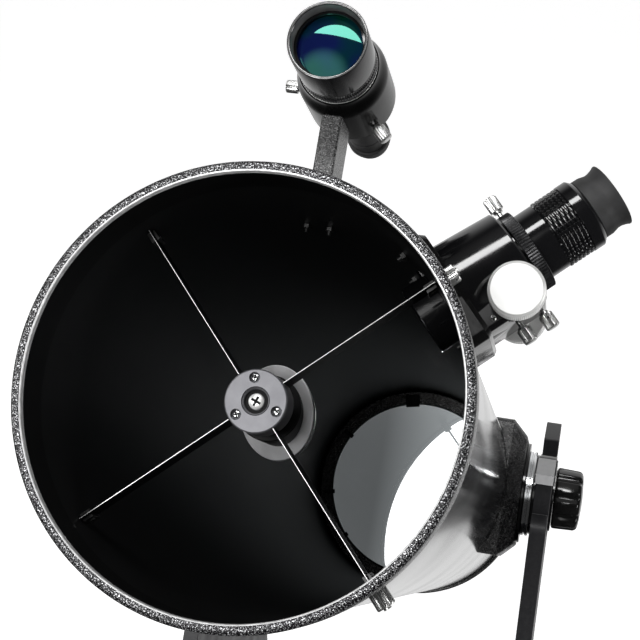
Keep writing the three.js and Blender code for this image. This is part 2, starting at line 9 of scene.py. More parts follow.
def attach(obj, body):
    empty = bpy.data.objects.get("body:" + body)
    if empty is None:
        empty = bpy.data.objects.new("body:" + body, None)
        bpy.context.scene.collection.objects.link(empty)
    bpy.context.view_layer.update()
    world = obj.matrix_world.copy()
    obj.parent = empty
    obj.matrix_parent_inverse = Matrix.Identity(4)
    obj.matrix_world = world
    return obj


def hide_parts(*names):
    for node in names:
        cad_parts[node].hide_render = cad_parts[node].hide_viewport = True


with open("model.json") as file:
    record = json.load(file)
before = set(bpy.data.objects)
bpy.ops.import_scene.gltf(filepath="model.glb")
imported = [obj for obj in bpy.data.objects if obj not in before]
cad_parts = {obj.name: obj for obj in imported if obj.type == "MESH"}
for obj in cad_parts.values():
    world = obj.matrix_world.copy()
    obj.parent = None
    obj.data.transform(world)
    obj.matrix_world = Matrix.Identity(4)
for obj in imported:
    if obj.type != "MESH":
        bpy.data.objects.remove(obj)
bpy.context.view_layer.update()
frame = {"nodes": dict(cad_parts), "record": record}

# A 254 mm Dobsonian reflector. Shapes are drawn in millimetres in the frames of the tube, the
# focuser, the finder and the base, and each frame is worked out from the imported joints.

MM = 0.001
TAU = 2 * math.pi

# ---- dimensions shared with the CAD model, millimetres ----

AXIS_BEHIND_RIM = 775
TUBE_R = 150
TUBE_WALL = 1.5
TUBE_LENGTH = 1213
RING_R = 155
LIP_R = 147.5
MIRROR_R = 127
MIRROR_FACE = 1164
MIRROR_THICK = 25
MIRROR_CURVE_R = 2500
HUB_FACE = 57
HUB_LENGTH = 24
HUB_R = 22.4
VANE_ANGLE = 42
PINION_X = 31
PINION_Z = 193
PANEL_X = 184
PANEL_THICK = 18
BLOCK_X = 167
KNOB_X = 205
FINDER_FOOT_X = 4.4
GAP = 0.3

# ---- frames: matrices from local millimetres to the row's metres ----

joints = {joint["name"]: joint for joint in frame["record"]["behaviour"]["joints"]}


def at(x, y, z):
    return Matrix.Translation((x, y, z))


def rotated(degrees, axis):
    return Matrix.Rotation(math.radians(degrees), 4, axis)


def frame_of(origin, x, y, z):
    rotation = Matrix((x, y, z)).transposed().to_4x4()
    return Matrix.Translation(origin) @ rotation @ Matrix.Scale(MM, 4)


axis_point = Vector(joints["altitude"]["pos_m"])
tube_y = Vector(joints["balance"]["axis"]).normalized()
tube_x = Vector((1, 0, 0))
tube_z = tube_x.cross(tube_y)
TUBE = frame_of(axis_point - AXIS_BEHIND_RIM * MM * tube_y, tube_x, tube_y, tube_z)

FOCUS_S = 145
FOCUS_TURN = rotated(48, "Y")
FOCUSER = TUBE @ at(0, FOCUS_S, 0) @ FOCUS_TURN
FINDER_AT = Vector((6.2, 60, 265.4))
FINDER = TUBE @ Matrix.Translation(FINDER_AT)

# The base is upright, with its origin on the floor under the altitude axis.
BASE = frame_of(Vector((axis_point.x, axis_point.y, 0)), tube_x, Vector((0, 1, 0)), Vector((0, 0, 1)))
AXIS_HEIGHT = axis_point.z / MM

# The altitude axis's own frames: one upright, and one that tilts with the tube.
TOWER = BASE @ at(0, 0, AXIS_HEIGHT)
TRUNNION = frame_of(axis_point, tube_x, tube_y, tube_z)

# ---- camera, light and floor ----

CAMERA_FROM_AXIS = Vector((213.4, -1424.2, 735.7)) * MM
CAMERA_AXES = (
    Vector((0.971831, 0.229067, 0.055435)),
    Vector((-0.131886, 0.333644, 0.933428)),
    Vector((0.195322, -0.914445, 0.354456)),
)
CAMERA_LENS = 74.26


def make_camera():
    data = bpy.data.cameras.new("camera")
    data.lens = CAMERA_LENS
    data.sensor_width = 36
    data.clip_end = 1000
    camera = bpy.data.objects.new("camera", data)
    camera.matrix_world = frame_of(axis_point + CAMERA_FROM_AXIS, *CAMERA_AXES) @ Matrix.Scale(1 / MM, 4)
    bpy.context.scene.collection.objects.link(camera)
    bpy.context.scene.camera = camera


def make_light(name, place, target, size, power):
    data = bpy.data.lights.new(name, "AREA")
    data.shape = "RECTANGLE"
    data.size, data.size_y = size
    data.energy = power
    light = bpy.data.objects.new(name, data)
    direction = Vector(target) - Vector(place)
    aim = direction.to_track_quat("-Z", "Y").to_matrix().to_4x4()
    light.matrix_world = Matrix.Translation(place) @ aim
    bpy.context.scene.collection.objects.link(light)


def make_stage():
    mesh = bpy.data.meshes.new("floor")
    half = 300
    corners = [(-half, -half, 0), (half, -half, 0), (half, half, 0), (-half, half, 0)]
    mesh.from_pydata(corners, [], [(0, 1, 2, 3)])
    floor = bpy.data.objects.new("floor", mesh)
    bpy.context.scene.collection.objects.link(floor)
    looks = bpy.data.materials.new("floor")
    looks.use_nodes = True
    shader = looks.node_tree.nodes["Principled BSDF"]
    shader.inputs["Base Color"].default_value = (0.9, 0.9, 0.9, 1)
    shader.inputs["Roughness"].default_value = 0.9
    shader.inputs["Emission Color"].default_value = (1, 1, 1, 1)
    shader.inputs["Emission Strength"].default_value = 0.7
    mesh.materials.append(looks)
    # The glossy blacks would turn grey if they mirrored the floor.
    floor.visible_glossy = False
    make_world()
    bpy.context.scene.view_settings.view_transform = "Standard"
    target = axis_point + Vector((0, -0.45, 0.35))
    make_light("overhead", (-0.2, -1.3, 3.2), target, (1.5, 0.45), 34)
    make_light("front", (-0.9, -3.4, 2.3), target, (1.0, 0.8), 42)
    make_light("left_strip", (-2.6, -1.6, 1.7), target, (0.3, 2.0), 26)
    make_light("right_strip", (2.7, -1.2, 1.3), target, (0.3, 2.0), 26)


def make_world():
    """Dark towards the camera, bright behind the telescope and in a patch of sky that it faces."""
    world = bpy.data.worlds.new("studio")
    world.use_nodes = True
    tree = world.node_tree
    look = tree.nodes.new("ShaderNodeTexCoord").outputs["Generated"]
    total = None
    patches = (((0, 1, 0), 0.3, 0.8, 0.8), ((-0.27, -0.84, 0.47), 0.93, 0.985, 1.9), ((0, 0, 1), 0.8, 1, 0.3))
    for toward, edge, middle, strength in patches:
        dot = tree.nodes.new("ShaderNodeVectorMath")
        dot.operation = "DOT_PRODUCT"
        dot.inputs[1].default_value = Vector(toward).normalized()
        tree.links.new(look, dot.inputs[0])
        ramp = tree.nodes.new("ShaderNodeMapRange")
        ramp.interpolation_type = "SMOOTHSTEP"
        ramp.inputs["From Min"].default_value = edge
        ramp.inputs["From Max"].default_value = middle
        ramp.inputs["To Max"].default_value = strength
        tree.links.new(dot.outputs["Value"], ramp.inputs["Value"])
        add = tree.nodes.new("ShaderNodeMath")
        add.inputs[1].default_value = 0.035
        tree.links.new(ramp.outputs[0], add.inputs[0])
        if total:
            tree.links.new(total, add.inputs[1])
        total = add.outputs[0]
    background = tree.nodes["Background"]
    background.inputs["Color"].default_value = (1, 1, 1, 1)
    tree.links.new(total, background.inputs["Strength"])
    bpy.context.scene.world = world


# ---- materials ----


class Looks:
    """A node material: a Principled shader with helpers that add variation and relief to it."""

    def __init__(self, name, color, rough, metal=0.0, **sockets):
        self.material = bpy.data.materials.new(name)
        self.material.use_nodes = True
        self.tree = self.material.node_tree
        self.shader = self.tree.nodes["Principled BSDF"]
        self.color = (*color, 1)
        self.shader.inputs["Base Color"].default_value = self.color
        self.shader.inputs["Roughness"].default_value = rough
        self.shader.inputs["Metallic"].default_value = metal
        for socket, value in sockets.items():
            self.shader.inputs[socket.replace("_", " ")].default_value = value
        self.position = self.tree.nodes.new("ShaderNodeTexCoord").outputs["Object"]
        self.normal = None

    def node(self, kind, **inputs):
        made = self.tree.nodes.new(kind)
        for name, value in inputs.items():
            socket = made.inputs[name.replace("_", " ")]
            if isinstance(value, bpy.types.NodeSocket):
                self.tree.links.new(value, socket)
            else:
                socket.default_value = value
        return made

    def noise(self, size, detail=3.0, stretch=(1, 1, 1)):
        """Noise whose blobs are about size millimetres across, longer where stretch is under 1."""
        place = self.node("ShaderNodeMapping", Vector=self.position, Scale=stretch)
        texture = self.node("ShaderNodeTexNoise", Vector=place.outputs[0], Scale=1 / (size * MM),
                            Detail=detail)
        return texture.outputs["Fac"]

    def vary_color(self, source, other, low=0.35, high=0.65):
        ramp = self.node("ShaderNodeMapRange", Value=source, From_Min=low, From_Max=high)
        mix = self.tree.nodes.new("ShaderNodeMix")
        mix.data_type = "RGBA"
        self.tree.links.new(ramp.outputs[0], mix.inputs["Factor"])
        mix.inputs[6].default_value = self.color
        mix.inputs[7].default_value = (*other, 1)
        self.tree.links.new(mix.outputs[2], self.shader.inputs["Base Color"])
        return self

    def vary_rough(self, source, low, high):
        ramp = self.node("ShaderNodeMapRange", Value=source, From_Min=0.3, From_Max=0.7,
                         To_Min=low, To_Max=high)
        self.tree.links.new(ramp.outputs[0], self.shader.inputs["Roughness"])
        return self

    def painted_reflection_glow(self, left, right, low, high):
        """Painted reflection: a faint emission that grows from left to right along X, standing in for the lit
        tube wall the mirror would show.
        """
        x = self.node("ShaderNodeSeparateXYZ", Vector=self.position).outputs[0]
        ramp = self.node("ShaderNodeMapRange", Value=x, From_Min=left, From_Max=right,
                         To_Min=low, To_Max=high)
        self.tree.links.new(ramp.outputs[0], self.shader.inputs["Emission Strength"])
        return self

    def relief(self, source, depth):
        """Bumps from source, depth millimetres high."""
        bump = self.node("ShaderNodeBump", Height=source, Distance=depth * MM, Strength=1.0)
        if self.normal:
            self.tree.links.new(self.normal, bump.inputs["Normal"])
        self.normal = bump.outputs[0]
        self.tree.links.new(self.normal, self.shader.inputs["Normal"])
        return self


def make_materials():
    m = {}

    def add(name, *args, **sockets):
        m[name] = Looks(name, *args, **sockets)
        return m[name]

    gloss = add("tube_paint", (0.006, 0.006, 0.007), 0.1, Coat_Weight=0.3, Coat_Roughness=0.06)
    gloss.relief(gloss.noise(60, 0), 0.03).vary_rough(gloss.noise(90, 0), 0.09, 0.14)
    flat = add("flat_black", (0.0032, 0.0032, 0.0034), 0.5, Specular_IOR_Level=0.14)
    flat.vary_color(flat.noise(30, 5), (0.0045, 0.0045, 0.0048)).relief(flat.noise(1.2, 3), 0.03)
    # Darker than flat_black: painted shade where it lines screw recesses and the hub's recess; also the
    # colour of the rim sleeve.
    deep = add("deep_black", (0.0008, 0.0008, 0.0009), 0.55, Specular_IOR_Level=0.15)
    deep.vary_color(deep.noise(30, 5), (0.0014, 0.0014, 0.0015)).relief(deep.noise(1.2, 3), 0.03)
    liner = add("cell_liner", (0.07, 0.07, 0.07), 0.4)
    liner.vary_color(liner.noise(14, 3), (0.11, 0.11, 0.11)).relief(liner.noise(0.6, 2), 0.01)
    wrinkle = add("hammertone", (0.006, 0.006, 0.0065), 0.22, Specular_IOR_Level=0.7)
    wrinkle.vary_color(wrinkle.noise(0.9, 1), (0.2, 0.2, 0.2), 0.56, 0.7)
    wrinkle.relief(wrinkle.noise(1.0, 1), 0.4).vary_rough(wrinkle.noise(3, 2), 0.2, 0.34)
    # Painted highlight: a lighter copy of the hammertone, with bright metallic flecks, for the front ring's
    # lit front face.
    flecked = add("highlit_flecked_paint", (0.008, 0.008, 0.009), 0.26, 0.6)
    flecked.vary_color(flecked.noise(0.9, 1), (0.5, 0.5, 0.51), 0.52, 0.7)
    flecked.relief(flecked.noise(1.0, 1), 0.35)
    smooth = add("smooth_paint", (0.004, 0.004, 0.004), 0.12, Specular_IOR_Level=0.5)
    smooth.relief(smooth.noise(3, 2), 0.05).vary_rough(smooth.noise(20, 3), 0.08, 0.16)
    # Painted highlight: a light metallic grey for the bright line inside the ring's front edge; on the vanes'
    # front edges it is bare metal, lightened by painted highlight too.
    lip = add("lip", (0.72, 0.72, 0.72), 0.34, 0.5)
    lip.vary_color(lip.noise(6, 4), (0.5, 0.5, 0.5)).relief(lip.noise(2, 2), 0.1)
    # A dark metallic grey, lighter than the cell's black, for the finder objective's front rim.
    chamfer = add("worn_black", (0.08, 0.08, 0.08), 0.25, 0.7)
    chamfer.vary_color(chamfer.noise(9, 4), (0.14, 0.14, 0.14)).relief(chamfer.noise(0.8, 2), 0.01)
    satin_black = add("satin_black", (0.002, 0.002, 0.002), 0.16, Specular_IOR_Level=0.12)
    satin_black.vary_rough(satin_black.noise(20, 3), 0.16, 0.24).relief(satin_black.noise(0.5, 2), 0.008)
    black = add("black_anodised", (0.004, 0.004, 0.0045), 0.1, Specular_IOR_Level=0.6)
    black.vary_rough(black.noise(25, 4), 0.07, 0.14).relief(black.noise(0.5, 2), 0.008)
    ridged = add("black_knurl", (0.014, 0.014, 0.015), 0.24, 0.4)
    ridged.vary_color(ridged.noise(4, 3), (0.03, 0.03, 0.032)).vary_rough(ridged.noise(8, 3), 0.18, 0.32)
    grey = add("grey_anodised", (0.13, 0.13, 0.14), 0.42, 0.55)
    grey.vary_color(grey.noise(12, 4), (0.16, 0.16, 0.17)).relief(grey.noise(0.35, 2), 0.012)
    cast = add("cast_grey", (0.55, 0.55, 0.56), 0.45, 0.2)
    cast.vary_color(cast.noise(12, 4), (0.62, 0.62, 0.63)).relief(cast.noise(0.5, 2), 0.02)
    satin = add("satin_metal", (0.74, 0.74, 0.73), 0.38, 0.55)
    satin.vary_rough(satin.noise(14, 4), 0.33, 0.46).relief(satin.noise(0.3, 2), 0.012)
    polished = add("polished_metal", (0.78, 0.79, 0.8), 0.14, 1.0)
    polished.vary_rough(polished.noise(6, 4, (1, 1, 0.2)), 0.09, 0.24)
    steel = add("steel", (0.78, 0.78, 0.77), 0.25, 1.0)
    steel.vary_color(steel.noise(5, 4), (0.62, 0.62, 0.61)).vary_rough(steel.noise(3, 3), 0.22, 0.4)
    dark = add("black_steel", (0.02, 0.02, 0.02), 0.35, 0.8)
    dark.vary_color(dark.noise(6, 3), (0.05, 0.05, 0.05)).relief(dark.noise(0.6, 2), 0.01)
    board = add("laminate", (0.009, 0.009, 0.011), 0.42, Specular_IOR_Level=0.45)
    board.vary_color(board.noise(7, 5, (1, 1, 0.15)), (0.015, 0.015, 0.017))
    board.relief(board.noise(1.1, 3, (1, 1, 0.3)), 0.07).vary_rough(board.noise(30, 3), 0.36, 0.5)
    edge = add("edge_band", (0.011, 0.011, 0.013), 0.5)
    edge.vary_color(edge.noise(3, 4), (0.018, 0.018, 0.02)).relief(edge.noise(0.8, 2), 0.04)
    shiny = add("knob_plastic", (0.005, 0.005, 0.005), 0.13, Specular_IOR_Level=0.6)
    shiny.vary_rough(shiny.noise(9, 3), 0.1, 0.2).relief(shiny.noise(2.5, 2), 0.02)
    pad = add("pad_plastic", (0.34, 0.34, 0.345), 0.55)
    pad.vary_color(pad.noise(10, 4), (0.38, 0.38, 0.385)).relief(pad.noise(0.9, 3), 0.05)
    rubber = add("rubber", (0.012, 0.012, 0.012), 0.62)
    rubber.vary_color(rubber.noise(9, 4), (0.02, 0.02, 0.021)).relief(rubber.noise(0.8, 3), 0.05)
    mirror = add("mirror_coating", (0.94, 0.95, 0.96), 0.0, 1.0)
    mirror.vary_rough(mirror.noise(60, 5), 0.004, 0.012)
    # Painted reflection: the primary's coating glows faintly, brighter towards +X, in place of the lit tube
    # wall seen in it.
    primary = add("painted_reflection_coating", (0.94, 0.95, 0.96), 0.0, 1.0, Emission_Color=(0.9, 0.97, 1, 1))
    primary.vary_rough(primary.noise(60, 5), 0.004, 0.012).painted_reflection_glow(-0.06, 0.11, 0.09, 0.42)
    glass_edge = add("glass_edge", (0.5, 0.56, 0.53), 0.5)
    glass_edge.vary_color(glass_edge.noise(4, 3), (0.62, 0.68, 0.65)).relief(glass_edge.noise(0.7, 2), 0.04)
    lens = add("coated_glass", (0.0, 0.022, 0.013), 0.02, Specular_IOR_Level=0.5, Coat_Weight=0.25)
    lens.shader.inputs["Specular Tint"].default_value = (0.1, 1.0, 0.75, 1)
    lens.shader.inputs["Coat Tint"].default_value = (0.25, 1.0, 0.85, 1)
    lens.vary_color(lens.noise(26, 1), (0.004, 0.006, 0.05))
    return {name: looks.material for name, looks in m.items()}


make_camera()
make_stage()
LOOKS = make_materials()

# ---- drawing ----


def turn(bm, profile, sides=96, place=None, ripple=None, mats=None):
    """A solid of revolution about Y from (radius, y) points; ripple(angle, radius, y) reshapes the radius.

    A profile that ends where it starts is closed into a ring. mats has a material for each of its steps.
    """
    place = place or Matrix()
    closed = profile[0] == profile[-1]
    rows = []
    for r, y in profile[:-1] if closed else profile:
        if r < 1e-6:
            rows.append([bm.verts.new(place @ Vector((0, y, 0)))] * sides)
            continue
        row = []
        for i in range(sides):
            angle = TAU * i / sides
            radius = ripple(angle, r, y) if ripple else r
            point = Vector((radius * math.cos(angle), y, radius * math.sin(angle)))
            row.append(bm.verts.new(place @ point))
        rows.append(row)
    pairs = list(zip(rows, rows[1:]))
    if closed:
        pairs.append((rows[-1], rows[0]))
    for step, (low, high) in enumerate(pairs):
        for i in range(sides):
            j = (i + 1) % sides
            corners = list(dict.fromkeys((low[i], low[j], high[j], high[i])))
            if len(corners) > 2:
                bm.faces.new(corners).material_index = mats[step] if mats else 0


def ring(r0, r1, y0, y1):
    return [(r0, y0), (r1, y0), (r1, y1), (r0, y1), (r0, y0)]


def rod(r, y0, y1):
    return [(0, y0), (r, y0), (r, y1), (0, y1)]


def brick(bm, x0, x1, y0, y1, z0, z1, place=None, mat=0):
    prism(bm, [(x0, y0), (x1, y0), (x1, y1), (x0, y1)], z0, z1, place, mat, mat)


def prism(bm, outline, z0, z1, place=None, mat=0, rim=0):
    """A flat outline in XY, given thickness from z0 to z1, with the material rim on its edges."""
    place = place or Matrix()
    low = [bm.verts.new(place @ Vector((x, y, z0))) for x, y in outline]
    high = [bm.verts.new(place @ Vector((x, y, z1))) for x, y in outline]
    for face in (bm.faces.new(low), bm.faces.new(high)):
        face.material_index = mat
    count = len(outline)
    for i in range(count):
        j = (i + 1) % count
        bm.faces.new((low[i], low[j], high[j], high[i])).material_index = rim


def mesh_of(bm, where):
    bmesh.ops.recalc_face_normals(bm, faces=bm.faces)
    mesh = bpy.data.meshes.new("shape")
    bm.to_mesh(mesh)
    bm.free()
    mesh.transform(where)
    mesh.shade_smooth()
    return mesh


def drawn(*steps):
    """A new bmesh with each step, a function of it, carried out in turn."""
    bm = bmesh.new()
    for step in steps:
        step(bm)
    return bm


def tool(shape):
    """A cutter made by one drawing step, with its faces turned outwards."""
    bm = drawn(shape)
    bmesh.ops.recalc_face_normals(bm, faces=bm.faces)
    return bm


def rod_tool(r, y0, y1, sides, place=None):
    """A round cutter along Y."""
    return tool(lambda b: turn(b, rod(r, y0, y1), sides, place))


def carve(piece, cutter_bm, where, inside=None):
    """Takes the cutter's shape out of the piece; inside names the look of the new faces."""
    cutter = bpy.data.objects.new("cutter", mesh_of(cutter_bm, where))
    bpy.context.scene.collection.objects.link(cutter)
    modifier = piece.modifiers.new("cut", "BOOLEAN")
    modifier.object = cutter
    modifier.solver = "EXACT"
    if inside:
        cutter.data.materials.append(LOOKS[inside])
        modifier.material_mode = "TRANSFER"
    depsgraph = bpy.context.evaluated_depsgraph_get()
    result = bpy.data.meshes.new_from_object(piece.evaluated_get(depsgraph))
    piece.modifiers.remove(modifier)
    piece.data = result
    bpy.data.objects.remove(cutter)


def add_piece(name, body, bm, where, looks, bevel=0.4, replaces=(), cuts=(), sharp=32):
    """Puts a drawn shape in the scene as one piece that rides on a body."""
    piece = bpy.data.objects.new(name, mesh_of(bm, where))
    bpy.context.scene.collection.objects.link(piece)
    for look in (looks,) if isinstance(looks, str) else looks:
        piece.data.materials.append(LOOKS[look])
    for cutter in cuts:
        if isinstance(cutter, tuple):
            carve(piece, cutter[0], where, cutter[1])
        else:
            carve(piece, cutter, where)
    piece.data.name = name
    piece.data.set_sharp_from_angle(angle=math.radians(sharp))
    if bevel:
        modifier = piece.modifiers.new("edges", "BEVEL")
        modifier.width = bevel * MM
        modifier.segments = 2
        modifier.limit_method = "ANGLE"
        modifier.angle_limit = math.radians(sharp)
        modifier.harden_normals = True
    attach(piece, body)
    if replaces:
        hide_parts(*replaces)
    return piece


def about_y(degrees, radius=0.0, y=0.0):
    """Turns +X towards +Z by an angle about Y, after a shift along X and Y."""
    return rotated(-degrees, "Y") @ at(radius, y, 0)


def along(direction):
    """Turns a shape drawn about Y to point along another axis."""
    return Vector((0, 1, 0)).rotation_difference(Vector(direction)).to_matrix().to_4x4()


def knurl(teeth, depth, y0, y1):
    """A ripple of straight teeth between two heights."""
    def ripple(angle, r, y):
        inside = y0 <= y <= y1
        return r - depth * (0.5 + 0.5 * math.cos(teeth * angle)) if inside else r
    return ripple


def arc(cx, cy, r, start, end, steps):
    """Points on an arc, in degrees, from start to end."""
    points = []
    for i in range(steps + 1):
        angle = math.radians(start + (end - start) * i / steps)
        points.append((cx + r * math.cos(angle), cy + r * math.sin(angle)))
    return points


def bezier(p0, p1, p2, p3, steps):
    points = []
    for i in range(steps + 1):
        t = i / steps
        weights = ((1 - t) ** 3, 3 * t * (1 - t) ** 2, 3 * t * t * (1 - t), t ** 3)
        points.append(tuple(sum(w * p[k] for w, p in zip(weights, (p0, p1, p2, p3))) for k in (0, 1)))
    return points


def phillips(place, r, depth):
    """A cutter for a cross recess, drawn at the head's face with the screw going along +Y."""
    arm = r * 0.24
    corner = [(r, -arm), (r, arm), (arm, arm)]
    cross = [(x * math.cos(q) - y * math.sin(q), x * math.sin(q) + y * math.cos(q))
             for q in (0, TAU / 4, TAU / 2, TAU * 3 / 4) for x, y in corner]
    facing = place @ rotated(20, "Y") @ rotated(90, "X")
    return tool(lambda b: prism(b, cross, -depth, 0.5, facing))


def sweep(bm, path, section, place=None, closed=False):
    """Carries a flat section, given as (across, up) offsets, along a path of points."""
    place = place or Matrix()
    path = [Vector(p) for p in path]
    count = len(path)
    across = None
    rows = []
    for i, point in enumerate(path):
        after = path[(i + 1) % count] if closed or i + 1 < count else point
        before = path[i - 1] if closed or i > 0 else point
        heading = (after - before).normalized()
        if across is None:
            across = heading.orthogonal().normalized()
        across = (across - across.dot(heading) * heading).normalized()
        up = heading.cross(across)
        rows.append([bm.verts.new(place @ (point + a * across + u * up)) for a, u in section])
    pairs = list(zip(rows, rows[1:]))
    if closed:
        pairs.append((rows[-1], rows[0]))
    else:
        bm.faces.new(rows[0])
        bm.faces.new(rows[-1])
    sides = len(section)
    for low, high in pairs:
        for i in range(sides):
            j = (i + 1) % sides
            bm.faces.new((low[i], low[j], high[j], high[i]))


def loft(bm, layers, place=None, mat=0):
    """Joins outlines of equal point counts, each (outline, z), into one solid."""
    place = place or Matrix()
    rows = [[bm.verts.new(place @ Vector((x, y, z))) for x, y in outline] for outline, z in layers]
    faces = [bm.faces.new(rows[0]), bm.faces.new(rows[-1])]
    count = len(rows[0])
    for low, high in zip(rows, rows[1:]):
        for i in range(count):
            j = (i + 1) % count
            faces.append(bm.faces.new((low[i], low[j], high[j], high[i])))
    for face in faces:
        face.material_index = mat


def rounded(half_x, half_y, r, steps=5):
    """A rectangle's outline with round corners."""
    points = []
    for sx, sy, start in ((1, 1, 0), (-1, 1, 90), (-1, -1, 180), (1, -1, 270)):
        points += arc(sx * (half_x - r), sy * (half_y - r), r, start, start + 90, steps)
    return points


def circle(r, steps=12):
    return arc(0, 0, r, 0, 360 * (steps - 1) / steps, steps - 1)


UP = along((0, 0, 1))
DOWN = along((0, 0, -1))
SIDES = (("right", 1), ("left", -1))
# Maps (x, y, z) of a flat outline to (x, z, y): a board that faces along Y.
FACING = Matrix(((1, 0, 0, 0), (0, 0, 1, 0), (0, 1, 0, 0), (0, 0, 0, 1)))


def outward(side):
    """Turns a shape drawn about Y to point along +X or -X."""
    return along((side, 0, 0))


def plate(side):
    """Maps (x, y, z) of a flat outline to (along Y, along Z, outwards along X)."""
    return Matrix(((0, 0, side, 0), (1, 0, 0, 0), (0, 1, 0, 0), (0, 0, 0, 1)))


def add_screw(name, body, where, place, r, head, shaft, length, look="black_steel",
              replaces=()):
    """A pan-head Phillips screw whose head's face is at the place's origin and whose shank runs along +Y."""
    bm = drawn(lambda b: turn(b, [
        (0, 0), (r * 0.55, 0.15), (r * 0.85, 0.6), (r, 1.3), (r, head), (shaft, head),
        (shaft, length), (0, length),
    ], 32, place))
    # The cross recess is lined with deep_black: painted shade.
    return add_piece(name, body, bm, where, look, bevel=0, replaces=replaces,
                     cuts=[(phillips(place, r * 0.66, head * 0.6), "deep_black")])


def add_turned(name, body, look, outline, where, place=None, sides=96, ripple=None, replaces=(), bevel=0.0,
               sharp=32):
    """One turned piece; an outline that keeps off the axis is closed into a ring."""
    profile = outline if outline[0][0] == 0 else [*outline, outline[0]]
    bm = drawn(lambda b: turn(b, profile, sides, place, ripple))
    return add_piece(name, body, bm, where, look, bevel=bevel, replaces=replaces, sharp=sharp)


def add_thumb_screw(name, body, where, place, start, neck, end, r, replaces=(), teeth=26):
    """A silver knurled screw along +Y: its shank from start, its head from neck to end."""
    head = [
        (0, start), (1.9, start), (1.9, neck), (r - 2, neck), (r - 1.6, neck + 2), (r - 0.3, neck + 2.2),
        (r, neck + 2.8), (r, end - 1.2), (r - 0.5, end - 0.4), (r - 1.3, end), (0, end),
    ]
    add_turned(name, body, "steel", head, where, place, teeth * 4, knurl(teeth, 0.45, neck + 2.7, end - 1.1),
               replaces, sharp=28)


# ---- ground board, feet and azimuth bearing ----

FOOT_HEIGHT = 22
BOARD_THICK = 18
BOARD_R = 300
GROUND_TOP = FOOT_HEIGHT + BOARD_THICK
ROCKER_FLOOR = GROUND_TOP + 5
ROCKER_TOP = ROCKER_FLOOR + BOARD_THICK
RACE_R = (105, 150)
BOLT_R = 6
BOLT_TOP = ROCKER_TOP + 24


def round_board(name, body, r, low, high, hole, replaces):
    outline = [(hole, low), (r - 0.8, low), (r, low + 0.8), (r, high - 0.8), (r - 0.8, high), (hole, high)]
    bm = drawn(lambda b: turn(b, outline + outline[:1], 192, UP, mats=[0, 1, 1, 1, 0, 0]))
    add_piece(name, body, bm, BASE, ("laminate", "edge_band"), bevel=0, replaces=replaces)


def make_ground():
    round_board("ground_board_top", "ground", BOARD_R, FOOT_HEIGHT, GROUND_TOP, BOLT_R + GAP,
                ["ground_board"])

    def races(b):
        for low in (GROUND_TOP, ROCKER_FLOOR - GAP - 1):
            turn(b, ring(*RACE_R, low + 0.02, low + 1), 128, UP)

    def rollers(b):
        for i in range(60):
            spin = Matrix.Rotation(TAU * i / 60, 4, "Z") @ at(0, 0, GROUND_TOP + 2.35)
            turn(b, rod(1.3, -RACE_R[1] + 5, -RACE_R[0] - 5), 12, spin)

    add_piece("azimuth_races", "ground", drawn(races, rollers), BASE, "steel", bevel=0.1)
    for i in range(3):
        angle = math.radians(90 + 120 * i)
        spot = at(240 * math.cos(angle), 240 * math.sin(angle), 0) @ UP
        foot = ring(7, 32, 0, FOOT_HEIGHT)[:-1]
        foot[1:3] = [(30, 0), (31.6, 1.5), (31, 8), (29.5, FOOT_HEIGHT - GAP), (7, FOOT_HEIGHT - GAP)]
        bm = drawn(lambda b, s=spot, f=foot: turn(b, [*f[:6], f[0]], 64, s))
        add_piece(f"foot_pad_{i + 1}", "ground", bm, BASE, "rubber", replaces=[f"foot_{i + 1}"])
        add_screw(f"foot_screw_{i + 1}", "ground", BASE, spot @ at(0, 5, 0), 6.4, 3, 2.5, 16.6)

    def bolt(b):
        prism(b, circle(10.4, 6), 12.2, 21.6)
        thread = [(0, 20)]
        turns = 22
        pitch = 1.6
        for i in range(turns):
            z = BOLT_TOP - 1.2 - (turns - i) * pitch
            thread += [(BOLT_R, z), (BOLT_R - 0.9, z + pitch / 2)]
        turn(b, [(0, 20), (BOLT_R, 20), *thread[1:], (BOLT_R - 0.8, BOLT_TOP - 0.6), (0, BOLT_TOP)], 32, UP)

    add_piece("azimuth_bolt_thread", "ground", drawn(bolt), BASE, "steel", bevel=0.2,
              replaces=["azimuth_bolt"])


# ---- rocker box ----

NECK_Y = 126
SHOULDER = 28
HORN_TOP = 76
CRADLE_R = 52
REAR_TOP = 50
FRONT_BOARD_Y = -183
FRONT_BOARD_TOP = 330


def panel_outline():
    """Side panel in (y, z), from the altitude axis."""
    floor = ROCKER_TOP + GAP - AXIS_HEIGHT
    front = bezier((-205, floor + 70), (-205, -200), (-NECK_Y, -170), (-NECK_Y, -120), 24)
    ledge = arc(-NECK_Y + 12, SHOULDER - 12, 12, 180, 90, 8)
    rear = bezier((NECK_Y, -160), (NECK_Y, floor + 230), (205, floor + 190), (205, floor + 70), 24)
    rear_horn = bezier((98, REAR_TOP), (117, 47), (NECK_Y, 37), (NECK_Y, 20), 10)
    cradle = arc(0, 0, CRADLE_R, 180, 360, 40)
    return [
        (-205, floor), *front, *ledge, (-100, SHOULDER), (-100, HORN_TOP - 1), (-99, HORN_TOP),
        (-CRADLE_R - 1, HORN_TOP), (-CRADLE_R, HORN_TOP - 1), *cradle, (CRADLE_R, REAR_TOP - 1),
        (CRADLE_R + 1, REAR_TOP), *rear_horn, *rear, (205, floor),
    ]


